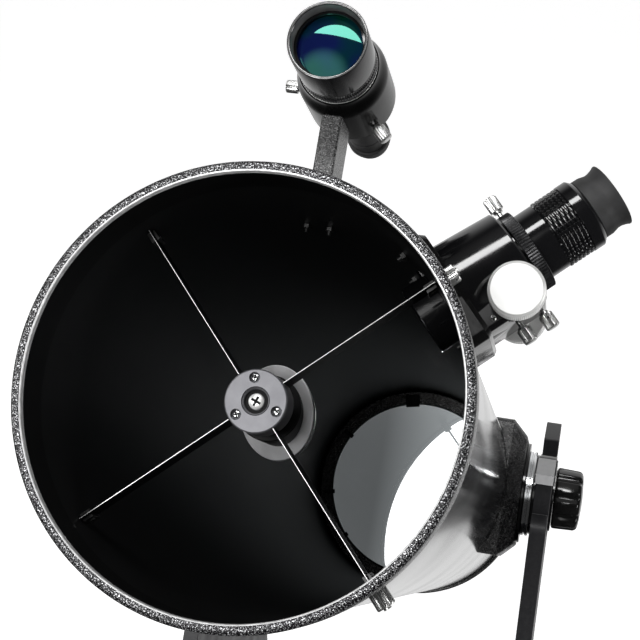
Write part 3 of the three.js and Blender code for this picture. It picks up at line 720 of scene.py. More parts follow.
def make_rocker():
    round_board("rocker_board_top", "rocker", BOARD_R - 5, ROCKER_FLOOR, ROCKER_TOP, BOLT_R + 1.5,
                ["rocker_board"])
    for name, side in SIDES:
        inner = PANEL_X
        outline = panel_outline()
        bm = drawn(lambda b: prism(b, outline, inner, inner + PANEL_THICK, plate(side), rim=1))
        add_piece(f"panel_{name}", "rocker", bm, TOWER, ("laminate", "edge_band"), bevel=0.9,
                  replaces=[f"side_panel_{name}"])
        make_pad(name, side)
        for i, height in enumerate((110, 200, 300)):
            spot = at(side * (PANEL_X + PANEL_THICK + 1.3), FRONT_BOARD_Y + 9, height)
            add_screw(f"panel_screw_{name}_{i + 1}", "rocker", BASE, spot @ outward(-side), 5.2, 1.3, 2.5, 4)

    dip = arc(0, FRONT_BOARD_TOP + 300, 330, 270 - 24.62, 270 + 24.62, 40)
    half = PANEL_X - GAP
    outline = [(-half, ROCKER_TOP + GAP), (-half, FRONT_BOARD_TOP), *dip, (half, FRONT_BOARD_TOP),
               (half, ROCKER_TOP + GAP)]
    bm = drawn(lambda b: prism(b, outline, FRONT_BOARD_Y, FRONT_BOARD_Y + BOARD_THICK, FACING, rim=1))
    add_piece("front_panel", "rocker", bm, BASE, ("laminate", "edge_band"), bevel=0.9,
              replaces=["front_board"])
    make_handle()
    make_azimuth_knob()


def make_pad(name, side):
    """Grey cap over the front horn: two walls, a top and a front lip."""
    low, high = HORN_TOP - 8, HORN_TOP + 4
    front, back = -106, -64
    walls = (PANEL_X - 3, PANEL_X - GAP), (PANEL_X + PANEL_THICK + GAP, PANEL_X + PANEL_THICK + 3)

    def cap(b):
        for x0, x1 in walls:
            prism(b, [(front, low), (back, low), (back, high), (front, high)], x0, x1, plate(side))
        prism(b, [(front, low + 0.02), (-100.4, low + 0.02), (-100.4, HORN_TOP + 0.4), (back, HORN_TOP + 0.4),
                  (back, high), (front, high)],
              walls[0][0] + 0.01, walls[1][1] - 0.01, plate(side))

    add_piece(f"horn_cap_{name}", "rocker", drawn(cap), TOWER, "pad_plastic", bevel=0.7,
              replaces=[f"saddle_pad_{name}"])
    spot = at(side * (walls[1][1] + 1.2), -85, HORN_TOP - 2) @ outward(-side)
    add_screw(f"cap_screw_{name}", "rocker", TOWER, spot, 4, 1.3, 1.8, 3)


def make_handle():
    reach = 38
    half = 62
    y, z = FRONT_BOARD_Y, 215
    pull = y - reach * 1.25
    bow = bezier((-half, y - 2), (-half - 2, pull), (half + 2, pull), (half, y - 2), 40)
    bow = [(x, max(b, y - reach) if abs(x) < half * 0.7 else b, z) for x, b in bow]
    section = [(7 * math.cos(TAU * i / 20), 7 * math.sin(TAU * i / 20)) for i in range(20)]

    def grip(b):
        sweep(b, bow, section)
        for x in (-half, half):
            foot = at(x, y, z) @ along((0, -1, 0)) @ along((0, 0, 1))
            loft(b, [(rounded(16, 15, 6), 0), (rounded(16, 15, 6), 5), (rounded(13, 12, 5), 8)], foot)

    add_piece("bow_handle", "rocker", drawn(grip), BASE, "knob_plastic", bevel=0.6)


def lobed(lobes, depth, r_full, sharpness=0.2):
    """A ripple of flutes that fade towards the middle."""
    def ripple(angle, r, y):
        flute = max(0.0, (math.cos(lobes * angle) - sharpness) / (1 - sharpness))
        return r - depth * flute * (r / r_full) ** 5
    return ripple


def make_azimuth_knob():
    low = ROCKER_TOP + 3
    outline = [
        (BOLT_R + GAP, low), (24.5, low), (26, low + 1.5), (26, low + 22), (24, low + 25.5), (20, low + 28),
        (12, low + 29), (BOLT_R + GAP, low + 29),
    ]
    add_turned("azimuth_grip", "azimuth_nut", "knob_plastic", outline, BASE, UP, 144, lobed(8, 3, 26),
               ["azimuth_knob"])


# ---- altitude bearings ----

SLOT_TRAVEL = 30
NUT_R = 16
JOURNAL_R = 49
PANEL_OUT = PANEL_X + PANEL_THICK


def make_altitude_bearings():
    for name, side in SIDES:
        make_block(name, side)
        face = outward(side)
        disc = [
            (6.2, BLOCK_X + GAP), (58, BLOCK_X + GAP), (59, BLOCK_X + 1), (59, BLOCK_X + 3.4),
            (58.4, BLOCK_X + 4), (6.2, BLOCK_X + 4),
        ]
        add_turned(f"friction_disc_{name}", "trunnions", "black_anodised", disc, TRUNNION, face, 128)
        bright = [
            (40, BLOCK_X + 4.05), (49.1, BLOCK_X + 4.05), (50, BLOCK_X + 5), (50, BLOCK_X + 7.2),
            (48.4, BLOCK_X + 7.9), (48.4, BLOCK_X + 9), (50, BLOCK_X + 9.6), (50, BLOCK_X + 11.6),
            (49.1, BLOCK_X + 12.5), (40, BLOCK_X + 12.5),
        ]
        add_turned(f"altitude_ring_{name}", "trunnions", "polished_metal", bright, TRUNNION, face, 128,
                   replaces=[f"trunnion_{name}"])
        washer = [
            (40, BLOCK_X + 12.55), (46, BLOCK_X + 12.55), (47, BLOCK_X + 13.5), (47, PANEL_X - 1.2),
            (46, PANEL_X - 0.4), (40, PANEL_X - 0.4),
        ]
        add_turned(f"altitude_washer_{name}", "trunnions", "black_anodised", washer, TRUNNION, face, 128)
        journal = [
            (10, PANEL_X - GAP), (JOURNAL_R, PANEL_X - GAP), (JOURNAL_R, PANEL_OUT),
            (JOURNAL_R - 1, PANEL_OUT + 1), (40, PANEL_OUT + 1), (40, KNOB_X - GAP), (10, KNOB_X - GAP),
        ]
        add_turned(f"journal_{name}", "trunnions", "black_anodised", journal, TRUNNION, face, 128)
        stud = [
            (0, BLOCK_X - 14), (NUT_R, BLOCK_X - 14), (NUT_R, BLOCK_X - 7.5), (5.9, BLOCK_X - 7.5),
            (5.9, KNOB_X - 1), (5, KNOB_X), (5, KNOB_X + 14), (4.2, KNOB_X + 15), (0, KNOB_X + 15),
        ]
        add_turned(f"stud_{name}", "trunnions", "steel", stud, TRUNNION, face, 48)
        make_altitude_knob(name, side)


def make_block(name, side):
    half_length, half_width, slope = 80, 78, 17
    top = BLOCK_X

    def body(b):
        loft(b, [
            (rounded(half_length, half_width, 8), 118),
            (rounded(half_length, half_width, 8), top - slope),
            (rounded(half_length - slope + 1.5, half_width - slope + 1.5, 6), top - 0.8),
            (rounded(half_length - slope, half_width - slope, 6), top),
        ], plate(side))

    def hollow(b):
        turn(b, rod(TUBE_R + 0.4, -200, 200), 256)

    def nut_way(b):
        reach = NUT_R + SLOT_TRAVEL + 3
        prism(b, rounded(reach, NUT_R + 2, 4), 100, top - 7, plate(side))

    def slot_way(b):
        prism(b, rounded(SLOT_TRAVEL + 7, 7, 6.99, 8), top - 30, top + 5, plate(side))

    add_piece(f"altitude_block_{name}", "ota", drawn(body), TRUNNION, "hammertone", bevel=1.0,
              replaces=[f"bearing_block_{name}"], cuts=[tool(hollow), tool(nut_way), tool(slot_way)])
    for i, (y, z) in enumerate(((-56, -55), (56, -55), (-56, 55), (56, 55))):
        spot = at(side * (top + 0.7), y, z) @ outward(-side)
        add_screw(f"block_screw_{name}_{i + 1}", "ota", TRUNNION, spot, 4.6, 1.4, 2.2, 4)


def make_altitude_knob(name, side):
    outline = [
        (5.3, 0), (32, 0), (35, 1), (36, 3), (35, 26), (34.3, 28), (32.4, 30), (29, 31.2), (22, 32),
        (21.6, 31.6), (12, 32.8), (0, 33), (0, 16.4), (5.3, 16.4),
    ]
    outline = [(r, KNOB_X + x) for r, x in outline]
    add_turned(f"altitude_grip_{name}", f"knob_{name}", "knob_plastic", outline, TRUNNION, outward(side), 180,
               lobed(9, 4.2, 36, 0.1), [f"altitude_knob_{name}"], sharp=40)


# ---- tube and end rings ----

TUBE_SECTIONS = ["tube_section_1", "tube_section_2", "tube_section_3"]
TAIL = TUBE_LENGTH + 2
RIM_SLEEVE = 38


def make_tube():
    front, back = 6, TUBE_LENGTH - 8
    outline = [(TUBE_R - TUBE_WALL, front), (TUBE_R, front), (TUBE_R, back), (TUBE_R - TUBE_WALL, back)]
    bm = drawn(lambda b: turn(b, [*outline, outline[0]], 256, mats=[0, 0, 0, 1]))
    hole = rod_tool(34, 120, 180, 96, at(0, FOCUS_S, 0) @ FOCUS_TURN @ UP)
    add_piece("optical_tube", "ota", bm, TUBE, ("tube_paint", "flat_black"), bevel=0,
              replaces=TUBE_SECTIONS, cuts=[hole])
    rim = [
        (148.7, 0.35), (149.6, 0), (152.2, 0), (153.6, 0.5), (154.6, 1.6), (RING_R, 3.2),
        (RING_R, 24.6), (154.6, 25.6), (153.8, 26), (150.3, 26), (150.3, 5.3), (148.7, 5.3),
    ]
    # Painted highlight: the front face takes the lighter fleck paint, the outer bevel and sides the plain
    # hammertone.
    bm = drawn(lambda b: turn(b, [*rim, rim[0]], 256, mats=[0, 0, 0, 0, 1, 1, 1, 1, 1, 1, 1, 0]))
    add_piece("rim_casting", "ota", bm, TUBE, ("highlit_flecked_paint", "hammertone"), bevel=0,
              replaces=["front_ring"], sharp=50)
    # Painted highlight: a light band just inside the ring's front edge.
    lip = [(LIP_R, 0.9), (147.9, 0.3), (148.65, 0.1), (148.65, 5.2), (LIP_R, 5.2)]
    add_turned("rim_highlight_lip", "ota", "lip", lip, TUBE, None, 256)
    sleeve = [(LIP_R, 5.3), (148.7, 5.3), (148.7, RIM_SLEEVE), (148, RIM_SLEEVE), (LIP_R, RIM_SLEEVE - 0.6)]
    add_turned("rim_sleeve", "ota", "deep_black", sleeve, TUBE, None, 256)


COLLIMATION_R = 100
FAN_R = 37


def make_tail():
    def frame_casting(b):
        outline = [
            (150.3, TAIL - 28), (154, TAIL - 28), (RING_R, TAIL - 27), (RING_R, TAIL - 3), (154.4, TAIL - 1),
            (152.8, TAIL), (133, TAIL), (132, TAIL - 1), (132, TAIL - 7), (150.3, TAIL - 7),
        ]
        turn(b, [*outline, outline[0]], 192)
        turn(b, ring(FAN_R + 2, 50, TAIL - 12, TAIL), 96)
        for i in range(3):
            arm = about_y(-90 - 120 * i)
            section = [(-15, TAIL - 10), (15, TAIL - 10), (15, TAIL - 2.5), (13.5, TAIL - 1),
                       (-13.5, TAIL - 1), (-15, TAIL - 2.5)]
            across = arm @ Matrix(((0, 0, 1, 0), (0, 1, 0, 0), (1, 0, 0, 0), (0, 0, 0, 1)))
            prism(b, section, 49, 133, across)

    add_piece("tail_casting", "ota", drawn(frame_casting), TUBE, "hammertone", bevel=0.6,
              replaces=["rear_ring"])

    def guard(b):
        wire = circle(0.8, 8)
        for r in (14, 22, 30, 38):
            path = [(r * math.cos(TAU * i / 64), TAIL - 1, r * math.sin(TAU * i / 64)) for i in range(64)]
            sweep(b, path, wire, closed=True)
        for i in range(4):
            turned = about_y(45 + 90 * i)
            sweep(b, [(14, TAIL - 1.4, 0), (44, TAIL - 1.4, 0)], wire, turned)

    add_piece("fan_guard", "ota", drawn(guard), TUBE, "steel", bevel=0)

    def rotor(b):
        turn(b, [(0, TAIL - 13), (14, TAIL - 13), (15, TAIL - 12), (15, TAIL - 4.4), (14, TAIL - 3.6),
                 (0, TAIL - 3.6)], 48)
        for i in range(7):
            blade = about_y(360 / 7 * i)
            pitch = at(0, TAIL - 8, 0) @ rotated(35, "X")
            outline = [(13, -6), (20, -7), (31, -8), (35, -6), (35, 5), (30, 7), (20, 6.5), (13, 6)]
            flat = rotated(90, "X")
            prism(b, outline, -0.8, 0.8, blade @ pitch @ flat)

    add_piece("fan_blades", "fan", drawn(rotor), TUBE, "knob_plastic", bevel=0.3,
              replaces=["fan_rotor"])
    for i in range(3):
        place = about_y(-90 - 120 * i, COLLIMATION_R)
        grip = [
            (0, TAIL - 17), (4, TAIL - 17), (4, TAIL + 1), (11.5, TAIL + 1), (13, TAIL + 2.5),
            (13, TAIL + 14), (12, TAIL + 16.4), (9.5, TAIL + 17.6), (0, TAIL + 18),
        ]
        add_turned(f"collimation_grip_{i + 1}", f"collimator_{i + 1}", "knob_plastic", grip, TUBE, place, 96,
                   lobed(6, 1.6, 13), [f"collimation_knob_{i + 1}"])
        make_spring(i, place)


def make_spring(i, place):
    start, end, turns, steps = MIRROR_FACE + MIRROR_THICK + 9.4, TAIL - 11.2, 2.5, 84
    path = []
    for k in range(steps + 1):
        angle = TAU * turns * k / steps
        path.append((7 * math.cos(angle), start + (end - start) * k / steps, 7 * math.sin(angle)))
    bm = drawn(lambda b: sweep(b, path, circle(0.9, 8), place))
    add_piece(f"cell_spring_{i + 1}", "ota", bm, TUBE, "steel", bevel=0)


# ---- primary mirror ----


CLIP_ANGLES = (-138, -169, 150, 21, -10, -41)
WIDE_CLIP_ANGLE = 101


def make_primary():
    sag = [(MIRROR_R - 1) * i / 24 for i in range(25)]
    deep = MIRROR_R ** 2 / (2 * MIRROR_CURVE_R)
    face = [(r, MIRROR_FACE + deep - r * r / (2 * MIRROR_CURVE_R)) for r in sag]
    back = MIRROR_FACE + MIRROR_THICK
    profile = [*face, (MIRROR_R, MIRROR_FACE + 1), (MIRROR_R, back - 1), (MIRROR_R - 1, back), (0, back)]
    bm = drawn(lambda b: turn(b, profile, 192, mats=[0] * 24 + [1] * 4))
    # The mirror's face carries the coating with the painted reflection; its edge is glass.
    add_piece("mirror_glass", "ota", bm, TUBE, ("painted_reflection_coating", "glass_edge"), bevel=0,
              replaces=["primary_mirror"])
    cell = [
        (MIRROR_R + 1.5, MIRROR_FACE + 4), (145.5, MIRROR_FACE + 4), (146.5, MIRROR_FACE + 5),
        (146.5, back + 8), (60, back + 8), (60, back + GAP), (MIRROR_R + 1.5, back + GAP),
    ]
    add_turned("mirror_tray", "ota", "hammertone", cell, TUBE, None, 192, replaces=["mirror_cell"], bevel=0.5)

    def clips(b):
        for angle in CLIP_ANGLES:
            spot = about_y(angle)
            brick(b, MIRROR_R - 3.5, MIRROR_R + 12, MIRROR_FACE - 2.4, MIRROR_FACE - 0.4, -3, 3, spot)
            brick(b, MIRROR_R + 2, MIRROR_R + 12, MIRROR_FACE - 0.4, MIRROR_FACE + 4, -3, 3, spot)
        spot = about_y(WIDE_CLIP_ANGLE)
        brick(b, MIRROR_R - 4.5, MIRROR_R + 14, MIRROR_FACE - 3.4, MIRROR_FACE - 0.4, -10, 10, spot)
        brick(b, MIRROR_R + 2, MIRROR_R + 14, MIRROR_FACE - 0.4, MIRROR_FACE + 4, -10, 10, spot)

    add_piece("mirror_clips", "ota", drawn(clips), TUBE, "flat_black", bevel=0.5)
    for i, angle in enumerate((*CLIP_ANGLES, WIDE_CLIP_ANGLE)):
        place = about_y(angle, MIRROR_R + 8, MIRROR_FACE - 4)
        add_screw(f"clip_screw_{i + 1}", "ota", TUBE, place, 2.4, 1.2, 1.2, 5)


# ---- spider and diagonal ----

HUB_SCREW_R = 16.5
HUB_SCREW_ANGLE = 102
HOLDER_R = 33.5
HOLDER_FRONT = 100
STALK_R = 24
PLATE_THICK = 5.4
DIAGONAL_R = 32.5
DIAGONAL_THICK = 6
DIAGONAL_OFFSET = 1.2


def make_spider():
    back = HUB_FACE + HUB_LENGTH
    hub = [
        (3.6, back), (3.6, HUB_FACE + 5), (8.7, HUB_FACE + 5), (8.7, HUB_FACE + 1.6), (9.6, HUB_FACE + 1),
        (9.6, HUB_FACE + 0.2), (9.9, HUB_FACE + 0.9), (10.2, HUB_FACE),
        (HUB_R - 0.9, HUB_FACE), (HUB_R, HUB_FACE + 0.9), (HUB_R, back - 1), (HUB_R - 1, back),
    ]
    cutters = []
    for i in range(3):
        place = about_y(HUB_SCREW_ANGLE + 120 * i, HUB_SCREW_R)
        cutters.append(rod_tool(3.9, HUB_FACE - 1, HUB_FACE + 4, 40, place))
        cutters.append(rod_tool(2.3, HUB_FACE, back + 1, 24, place))
        head = place @ at(0, HUB_FACE + 1, 0)
        add_screw(f"adjuster_{i + 1}", f"secondary_adjuster_{i + 1}", TUBE, head, 3.5, 2.6, 1.95,
                  HOLDER_FRONT - GAP - HUB_FACE - 1, look="polished_metal",
                  replaces=[f"secondary_screw_{i + 1}"])
    bm = drawn(lambda b: turn(b, [*hub, hub[0]], 96))
    add_piece("hub", "ota", bm, TUBE, "grey_anodised", bevel=0.25, replaces=["spider_hub"],
              cuts=cutters)
    head = at(0, HUB_FACE + 1.2, 0)
    reach = HOLDER_FRONT + 4 - HUB_FACE - 1.2
    add_screw("hanging_bolt", "secondary_centre_bolt", TUBE, head, 5.5, 3.4, 3, reach, "satin_metal",
              ["secondary_bolt"])
    # Painted shade: a deep black ring on the floor of the hub's recess darkens it.
    well = [(5.9, HUB_FACE + 4.3), (8.6, HUB_FACE + 4.3), (8.6, HUB_FACE + 4.9), (5.9, HUB_FACE + 4.9)]
    add_turned("hub_well_shade", "ota", "deep_black", well, TUBE, None, 64)
    for i in range(4):
        place = about_y(VANE_ANGLE + 90 * i)
        make_vane(i, place)


def make_vane(i, place):
    front = HUB_FACE + 1
    wall = TUBE_R - TUBE_WALL

    def vane(b):
        brick(b, HUB_R + GAP, wall - 0.6, front + 0.5, front + 22, -0.2, 0.2, place)
        # The front strip takes the lip look: a bare metal edge, partly painted highlight.
        brick(b, HUB_R + GAP, wall - 0.6, front, front + 0.5, -0.2, 0.2, place, mat=1)

    add_piece(f"vane_{i + 1}", "ota", drawn(vane), TUBE, ("flat_black", "lip"), bevel=0,
              replaces=[f"spider_vane_{i + 1}"])

    def clamp(b):
        brick(b, wall - 9, wall - 0.8, front + 4, front + 20, -3.2, -0.6, place)
        brick(b, wall - 9, wall - 0.8, front + 4, front + 20, 0.6, 3.2, place)

    add_piece(f"vane_clamp_{i + 1}", "ota", drawn(clamp), TUBE, "black_steel", bevel=0.4)
    out = place @ at(0, front + 12, 0) @ outward(1)
    nut = [
        (0, TUBE_R + 0.1), (5.6, TUBE_R + 0.1), (5.6, TUBE_R + 1.4), (6.4, TUBE_R + 1.5), (7, TUBE_R + 2.2),
        (7, TUBE_R + 13.6), (6.4, TUBE_R + 14.4), (3, TUBE_R + 14.6), (3, TUBE_R + 16), (0, TUBE_R + 16),
    ]
    add_turned(f"vane_nut_{i + 1}", "ota", "steel", nut, TUBE, out, 112,
               knurl(28, 0.5, TUBE_R + 2.1, TUBE_R + 13.7), sharp=28)
    for k, across in enumerate((-3.9, 3.9)):
        spot = place @ at(wall - 5, front + 12, across) @ (DOWN if across > 0 else UP)
        add_screw(f"clamp_screw_{i + 1}_{k + 1}", "ota", TUBE, spot, 2.6, 0.7, 1.2, 1.6, "steel")


def make_diagonal():
    """Holder and mirror, drawn with the focuser towards +Z and then turned to it."""
    def slanted(b, r, near, far, shift=0.0, sides=96):
        """A rod along Y whose ends lie at near and far, each a function of z."""
        rows = []
        for end in (near, far):
            row = []
            for i in range(sides):
                angle = TAU * i / sides
                x, z = r * math.cos(angle), r * math.sin(angle) - shift
                row.append(b.verts.new(FOCUS_TURN @ Vector((x, end(z), z))))
            rows.append(row)
            b.faces.new(row)
        for i in range(sides):
            j = (i + 1) % sides
            b.faces.new((rows[0][i], rows[0][j], rows[1][j], rows[1][i]))

    def behind(depth):
        """The slanted plane that lies depth behind the reflecting face."""
        return lambda z: FOCUS_S - z - depth * math.sqrt(2)

    back = DIAGONAL_THICK + GAP
    bores = [rod_tool(3.3, HOLDER_FRONT - 3, FOCUS_S + 60, 32) for _ in range(2)]
    slab = drawn(lambda b: slanted(b, HOLDER_R, behind(back + PLATE_THICK), behind(back), DIAGONAL_OFFSET))
    add_piece("diagonal_plate", "ota", slab, TUBE, "cast_grey", bevel=0.8,
              replaces=["secondary_holder"], cuts=bores[:1])
    stalk = drawn(lambda b: slanted(b, STALK_R, lambda z: HOLDER_FRONT, behind(back + PLATE_THICK - 0.5)))
    add_piece("diagonal_stalk", "ota", stalk, TUBE, "flat_black", bevel=0.8, cuts=bores[1:])
    glass = drawn(lambda b: slanted(b, DIAGONAL_R, behind(DIAGONAL_THICK), behind(0), DIAGONAL_OFFSET))
    add_piece("diagonal_glass", "ota", glass, TUBE, "mirror_coating", bevel=0,
              replaces=["secondary_mirror"])


# ---- focuser ----

BODY_R = 38.5
BODY_FOOT_R = 42
BODY_TOP = 213.5
BASE_TOP = 163
DRAWTUBE_R = 27.9
COLLAR_R = 32.4
COLLAR_TOP = 225
KNOB_R = 20.6
FINE_R = 11
TENSION_Z = 186
LOCK_Z = 205


def add_inner_nut(name, where, x, y, clear, r, thick, stud_r, stud):
    """A hexagon nut and the end of its screw, against the tube's inner wall and pointing down."""
    place = at(x, y, math.sqrt((TUBE_R - TUBE_WALL) ** 2 - x * x) - clear) @ DOWN

    def nut(b):
        prism(b, circle(r, 6), 0, thick, place @ rotated(-90, "X"))
        turn(b, rod(stud_r, 0, stud), 20, place)

    add_piece(name, "ota", drawn(nut), where, "black_steel", bevel=0.2)


def focuser_bore():
    return rod_tool(DRAWTUBE_R + GAP, 100, 260, 96, UP)


def pinion_bearing():
    return rod_tool(4.3, -60, 60, 32, at(PINION_X, 0, PINION_Z))


def make_focuser():
    def base(b):
        loft(b, [(rounded(46, 48, 7), 120), (rounded(46, 48, 7), 159.5), (rounded(43.5, 45.5, 6), BASE_TOP)])

    saddle = rod_tool(TUBE_R + 0.8, -100, 100, 256)
    add_piece("focuser_saddle", "ota", drawn(base), FOCUSER, "smooth_paint", bevel=0.8,
              replaces=["focuser_base"], cuts=[saddle, focuser_bore()])
    for i, (x, y) in enumerate(((-39, -41), (39, -41), (-39, 41), (39, 41))):
        add_screw(f"saddle_screw_{i + 1}", "ota", FOCUSER, at(x, y, BASE_TOP + 0.2) @ DOWN, 3.6, 1.6, 2, 10)
        add_inner_nut(f"saddle_nut_{i + 1}", FOCUSER, x, y, 0.2, 4, 3.2, 1.9, 6.5)

    make_focuser_body()
    draw = [
        (25.7, 127.6), (26.4, 127), (27.3, 127), (DRAWTUBE_R, 127.6), (DRAWTUBE_R, 215.5), (25.7, 215.5),
    ]
    add_turned("drawtube", "drawtube", "black_anodised", draw, FOCUSER, UP, 128,
               replaces=["focuser_drawtube"])
    collar = [
        (25.7, 215.8), (32.1, 215.8), (COLLAR_R, 216.2), (COLLAR_R, 216.4), (COLLAR_R, 224.3),
        (COLLAR_R, 224.6), (32, COLLAR_TOP), (25.7, COLLAR_TOP),
    ]
    add_turned("collar", "drawtube", "black_knurl", collar, FOCUSER, UP, 504, knurl(84, 0.8, 216.3, 224.4),
               ["focuser_collar"], sharp=28)
    clamp_at = at(0, 0, 220.4) @ outward(-1)
    add_thumb_screw("collar_thumb_screw", "drawtube_screw", FOCUSER, clamp_at, 28, 36, 50, 5.5,
                    ["collar_screw"])
    for name, node, body, z in (("tension_thumb_screw", "tension_screw", "tension", TENSION_Z),
                                ("lock_thumb_screw", "lock_screw", "focus_lock", LOCK_Z)):
        add_thumb_screw(name, body, FOCUSER, at(0, 0, z) @ outward(1), 37, 45, 59, 5.5, [node])
    make_focus_knobs()
    make_eyepiece()


def make_focuser_body():
    low = BASE_TOP + GAP
    barrel = [(27, low), (BODY_FOOT_R, low), (BODY_R, BODY_TOP - 1.2), (BODY_R - 1.2, BODY_TOP),
              (27, BODY_TOP)]
    bm = drawn(lambda b: turn(b, [*barrel, barrel[0]], 160, UP))
    add_piece("focuser_barrel", "ota", bm, FOCUSER, "black_anodised", bevel=0.2,
              replaces=["focuser_body"], cuts=[focuser_bore(), pinion_bearing()])

    def housing(b):
        loft(b, [(rounded(15, 34, 4), low), (rounded(15, 34, 4), BODY_TOP - 4),
                 (rounded(13.4, 32.4, 3.4), BODY_TOP - 2)], at(26, 0, 0))

    core = [(0, low - 9), (BODY_FOOT_R + 0.3, low - 9), (BODY_R - 0.9, BODY_TOP + 9), (0, BODY_TOP + 9)]
    barrel_core = tool(lambda b: turn(b, core, 160, UP))
    screw_ways = [rod_tool(2.3, 36, 60, 24, at(0, 0, z) @ outward(1)) for z in (TENSION_Z, LOCK_Z)]
    add_piece("pinion_housing", "ota", drawn(housing), FOCUSER, "black_anodised", bevel=0.5,
              cuts=[barrel_core, pinion_bearing(), *screw_ways])
    for i, (angle, z) in enumerate(((221, 189), (55, 190), (125, 190))):
        turned = rotated(angle, "Z") @ at(BODY_R + 1.6, 0, z)
        add_screw(f"barrel_screw_{i + 1}", "ota", FOCUSER, turned @ along((-1, 0, 0)), 2.4, 0.8, 1.5, 4,
                  "steel")
    for i, side in enumerate((-1, 1)):
        spot = at(34, side * 34.6, 170) @ along((0, -side, 0))
        add_screw(f"housing_screw_{i + 1}", "ota", FOCUSER, spot, 2.6, 0.9, 1.5, 4, "steel")


def make_focus_knobs():
    shaft = at(PINION_X, 0, PINION_Z)
    front = [
        (0, -31), (3.9, -31), (3.9, -36), (9, -36), (9, -50), (KNOB_R - 1.6, -50), (KNOB_R - 0.5, -50.6),
        (KNOB_R, -51.4), (KNOB_R, -61.6), (KNOB_R - 0.4, -62.4), (KNOB_R - 1.4, -63), (KNOB_R - 1.7, -63.6),
        (KNOB_R - 2.4, -64), (KNOB_R - 5, -64), (0, -63.7),
    ]
    add_turned("coarse_knob_front", "focus_shaft", "satin_metal", front, FOCUSER, shaft, 360,
               knurl(90, 0.45, -61.7, -51.3), ["focus_knob_front"], sharp=28)
    add_turned("pinion_shaft", "focus_shaft", "steel", rod(2.4, -32, 31), FOCUSER, shaft, 24)
    rear = [
        (4.3, 35), (9, 35), (9, 41), (KNOB_R - 1.6, 41), (KNOB_R - 0.5, 41.6), (KNOB_R, 42.4), (KNOB_R, 51.6),
        (KNOB_R - 0.5, 52.4), (KNOB_R - 1.6, 53), (4.3, 53),
    ]
    add_turned("coarse_knob_rear", "focus_shaft", "satin_metal", rear, FOCUSER, shaft, 360,
               knurl(90, 0.45, 42.3, 51.7), ["focus_knob_rear"], sharp=28)
    fine = [
        (0, 53.3), (FINE_R - 1, 53.3), (FINE_R, 54.2), (FINE_R, 62.8), (FINE_R - 0.5, 63.5),
        (FINE_R - 1.4, 64), (0, 63.8),
    ]
    add_turned("fine_focus_knob", "fine_focus", "black_anodised", fine, FOCUSER, shaft, 200,
               knurl(50, 0.4, 54.1, 62.9), ["fine_knob"], sharp=28)


GRIP_ROWS = 6
GRIP_COLUMNS = 44


def grip_profile(low, high, r, rows):
    """Pads and grooves between two heights."""
    points = []
    pitch = (high - low) / rows
    for i in range(rows):
        start = low + pitch * i
        points += [(r - 1, start + 0.12 * pitch), (r - 0.15, start + 0.26 * pitch), (r, start + 0.36 * pitch),
                   (r, start + 0.74 * pitch), (r - 0.15, start + 0.84 * pitch), (r - 1, start + 0.98 * pitch)]
    return points


def grip_ripple(columns, depth, low, high):
    def ripple(angle, r, y):
        if not low < y < high:
            return r
        phase = (columns * angle / TAU) % 1
        return r - depth if phase < 0.3 else r
    return ripple


def make_eyepiece():
    grip = (241.6, 262.6)
    outline = [
        (23.5, 195.3), (24, 195), (25, 195), (25.4, 195.4), (25.4, 225.3), (26.5, 225.3), (26.9, 225.8),
        (26.9, 240.8), (26.2, 241.4), *grip_profile(*grip, 27.6, GRIP_ROWS), (26.6, 262.8), (27.5, 262.9),
        (27.9, 263.4), (27.9, 271.6), (27.4, 272.4), (25, 274.7), (21.5, 274.7), (21.5, 282.6), (21, 283),
        (15.4, 283), (15, 282.4), (15, 262), (23.5, 240),
    ]
    columns = GRIP_COLUMNS
    add_turned("eyepiece_shell", "eyepiece", "black_anodised", outline, FOCUSER, UP, columns * 10,
               grip_ripple(columns, 0.8, *grip), ["eyepiece_body"], sharp=30)
    lens = [(0, 279.4), (8, 279.9), (14.9, 281.4), (14.9, 276), (0, 276)]
    add_turned("eye_lens", "eyepiece", "coated_glass", lens, FOCUSER, UP, 64)
    cup = [
        (21.8, 275.2), (24, 275.2), (24.4, 275.7), (24.3, 281.6), (23.7, 284), (22.9, 287), (23, 289.5),
        (24.1, 293.4), (25.3, 295.8), (25.2, 296.6), (24.5, 296.9), (23.6, 295.8), (22, 291), (21.2, 287.5),
        (21.8, 283.4),
    ]
    add_turned("eyecup_rubber", "eyepiece", "rubber", cup, FOCUSER, UP, 96, replaces=["eyecup"])


# ---- finder ----

FINDER_SCREW_Y = 110
LEFT_SCREW, RIGHT_SCREW, PLUNGER = 180, -45, 115
SHOE_FOOT = TUBE_R + 20 - FINDER_AT.z
FOOT_X = FINDER_FOOT_X - FINDER_AT.x
CELL_END = 44
SHOE_START = 62


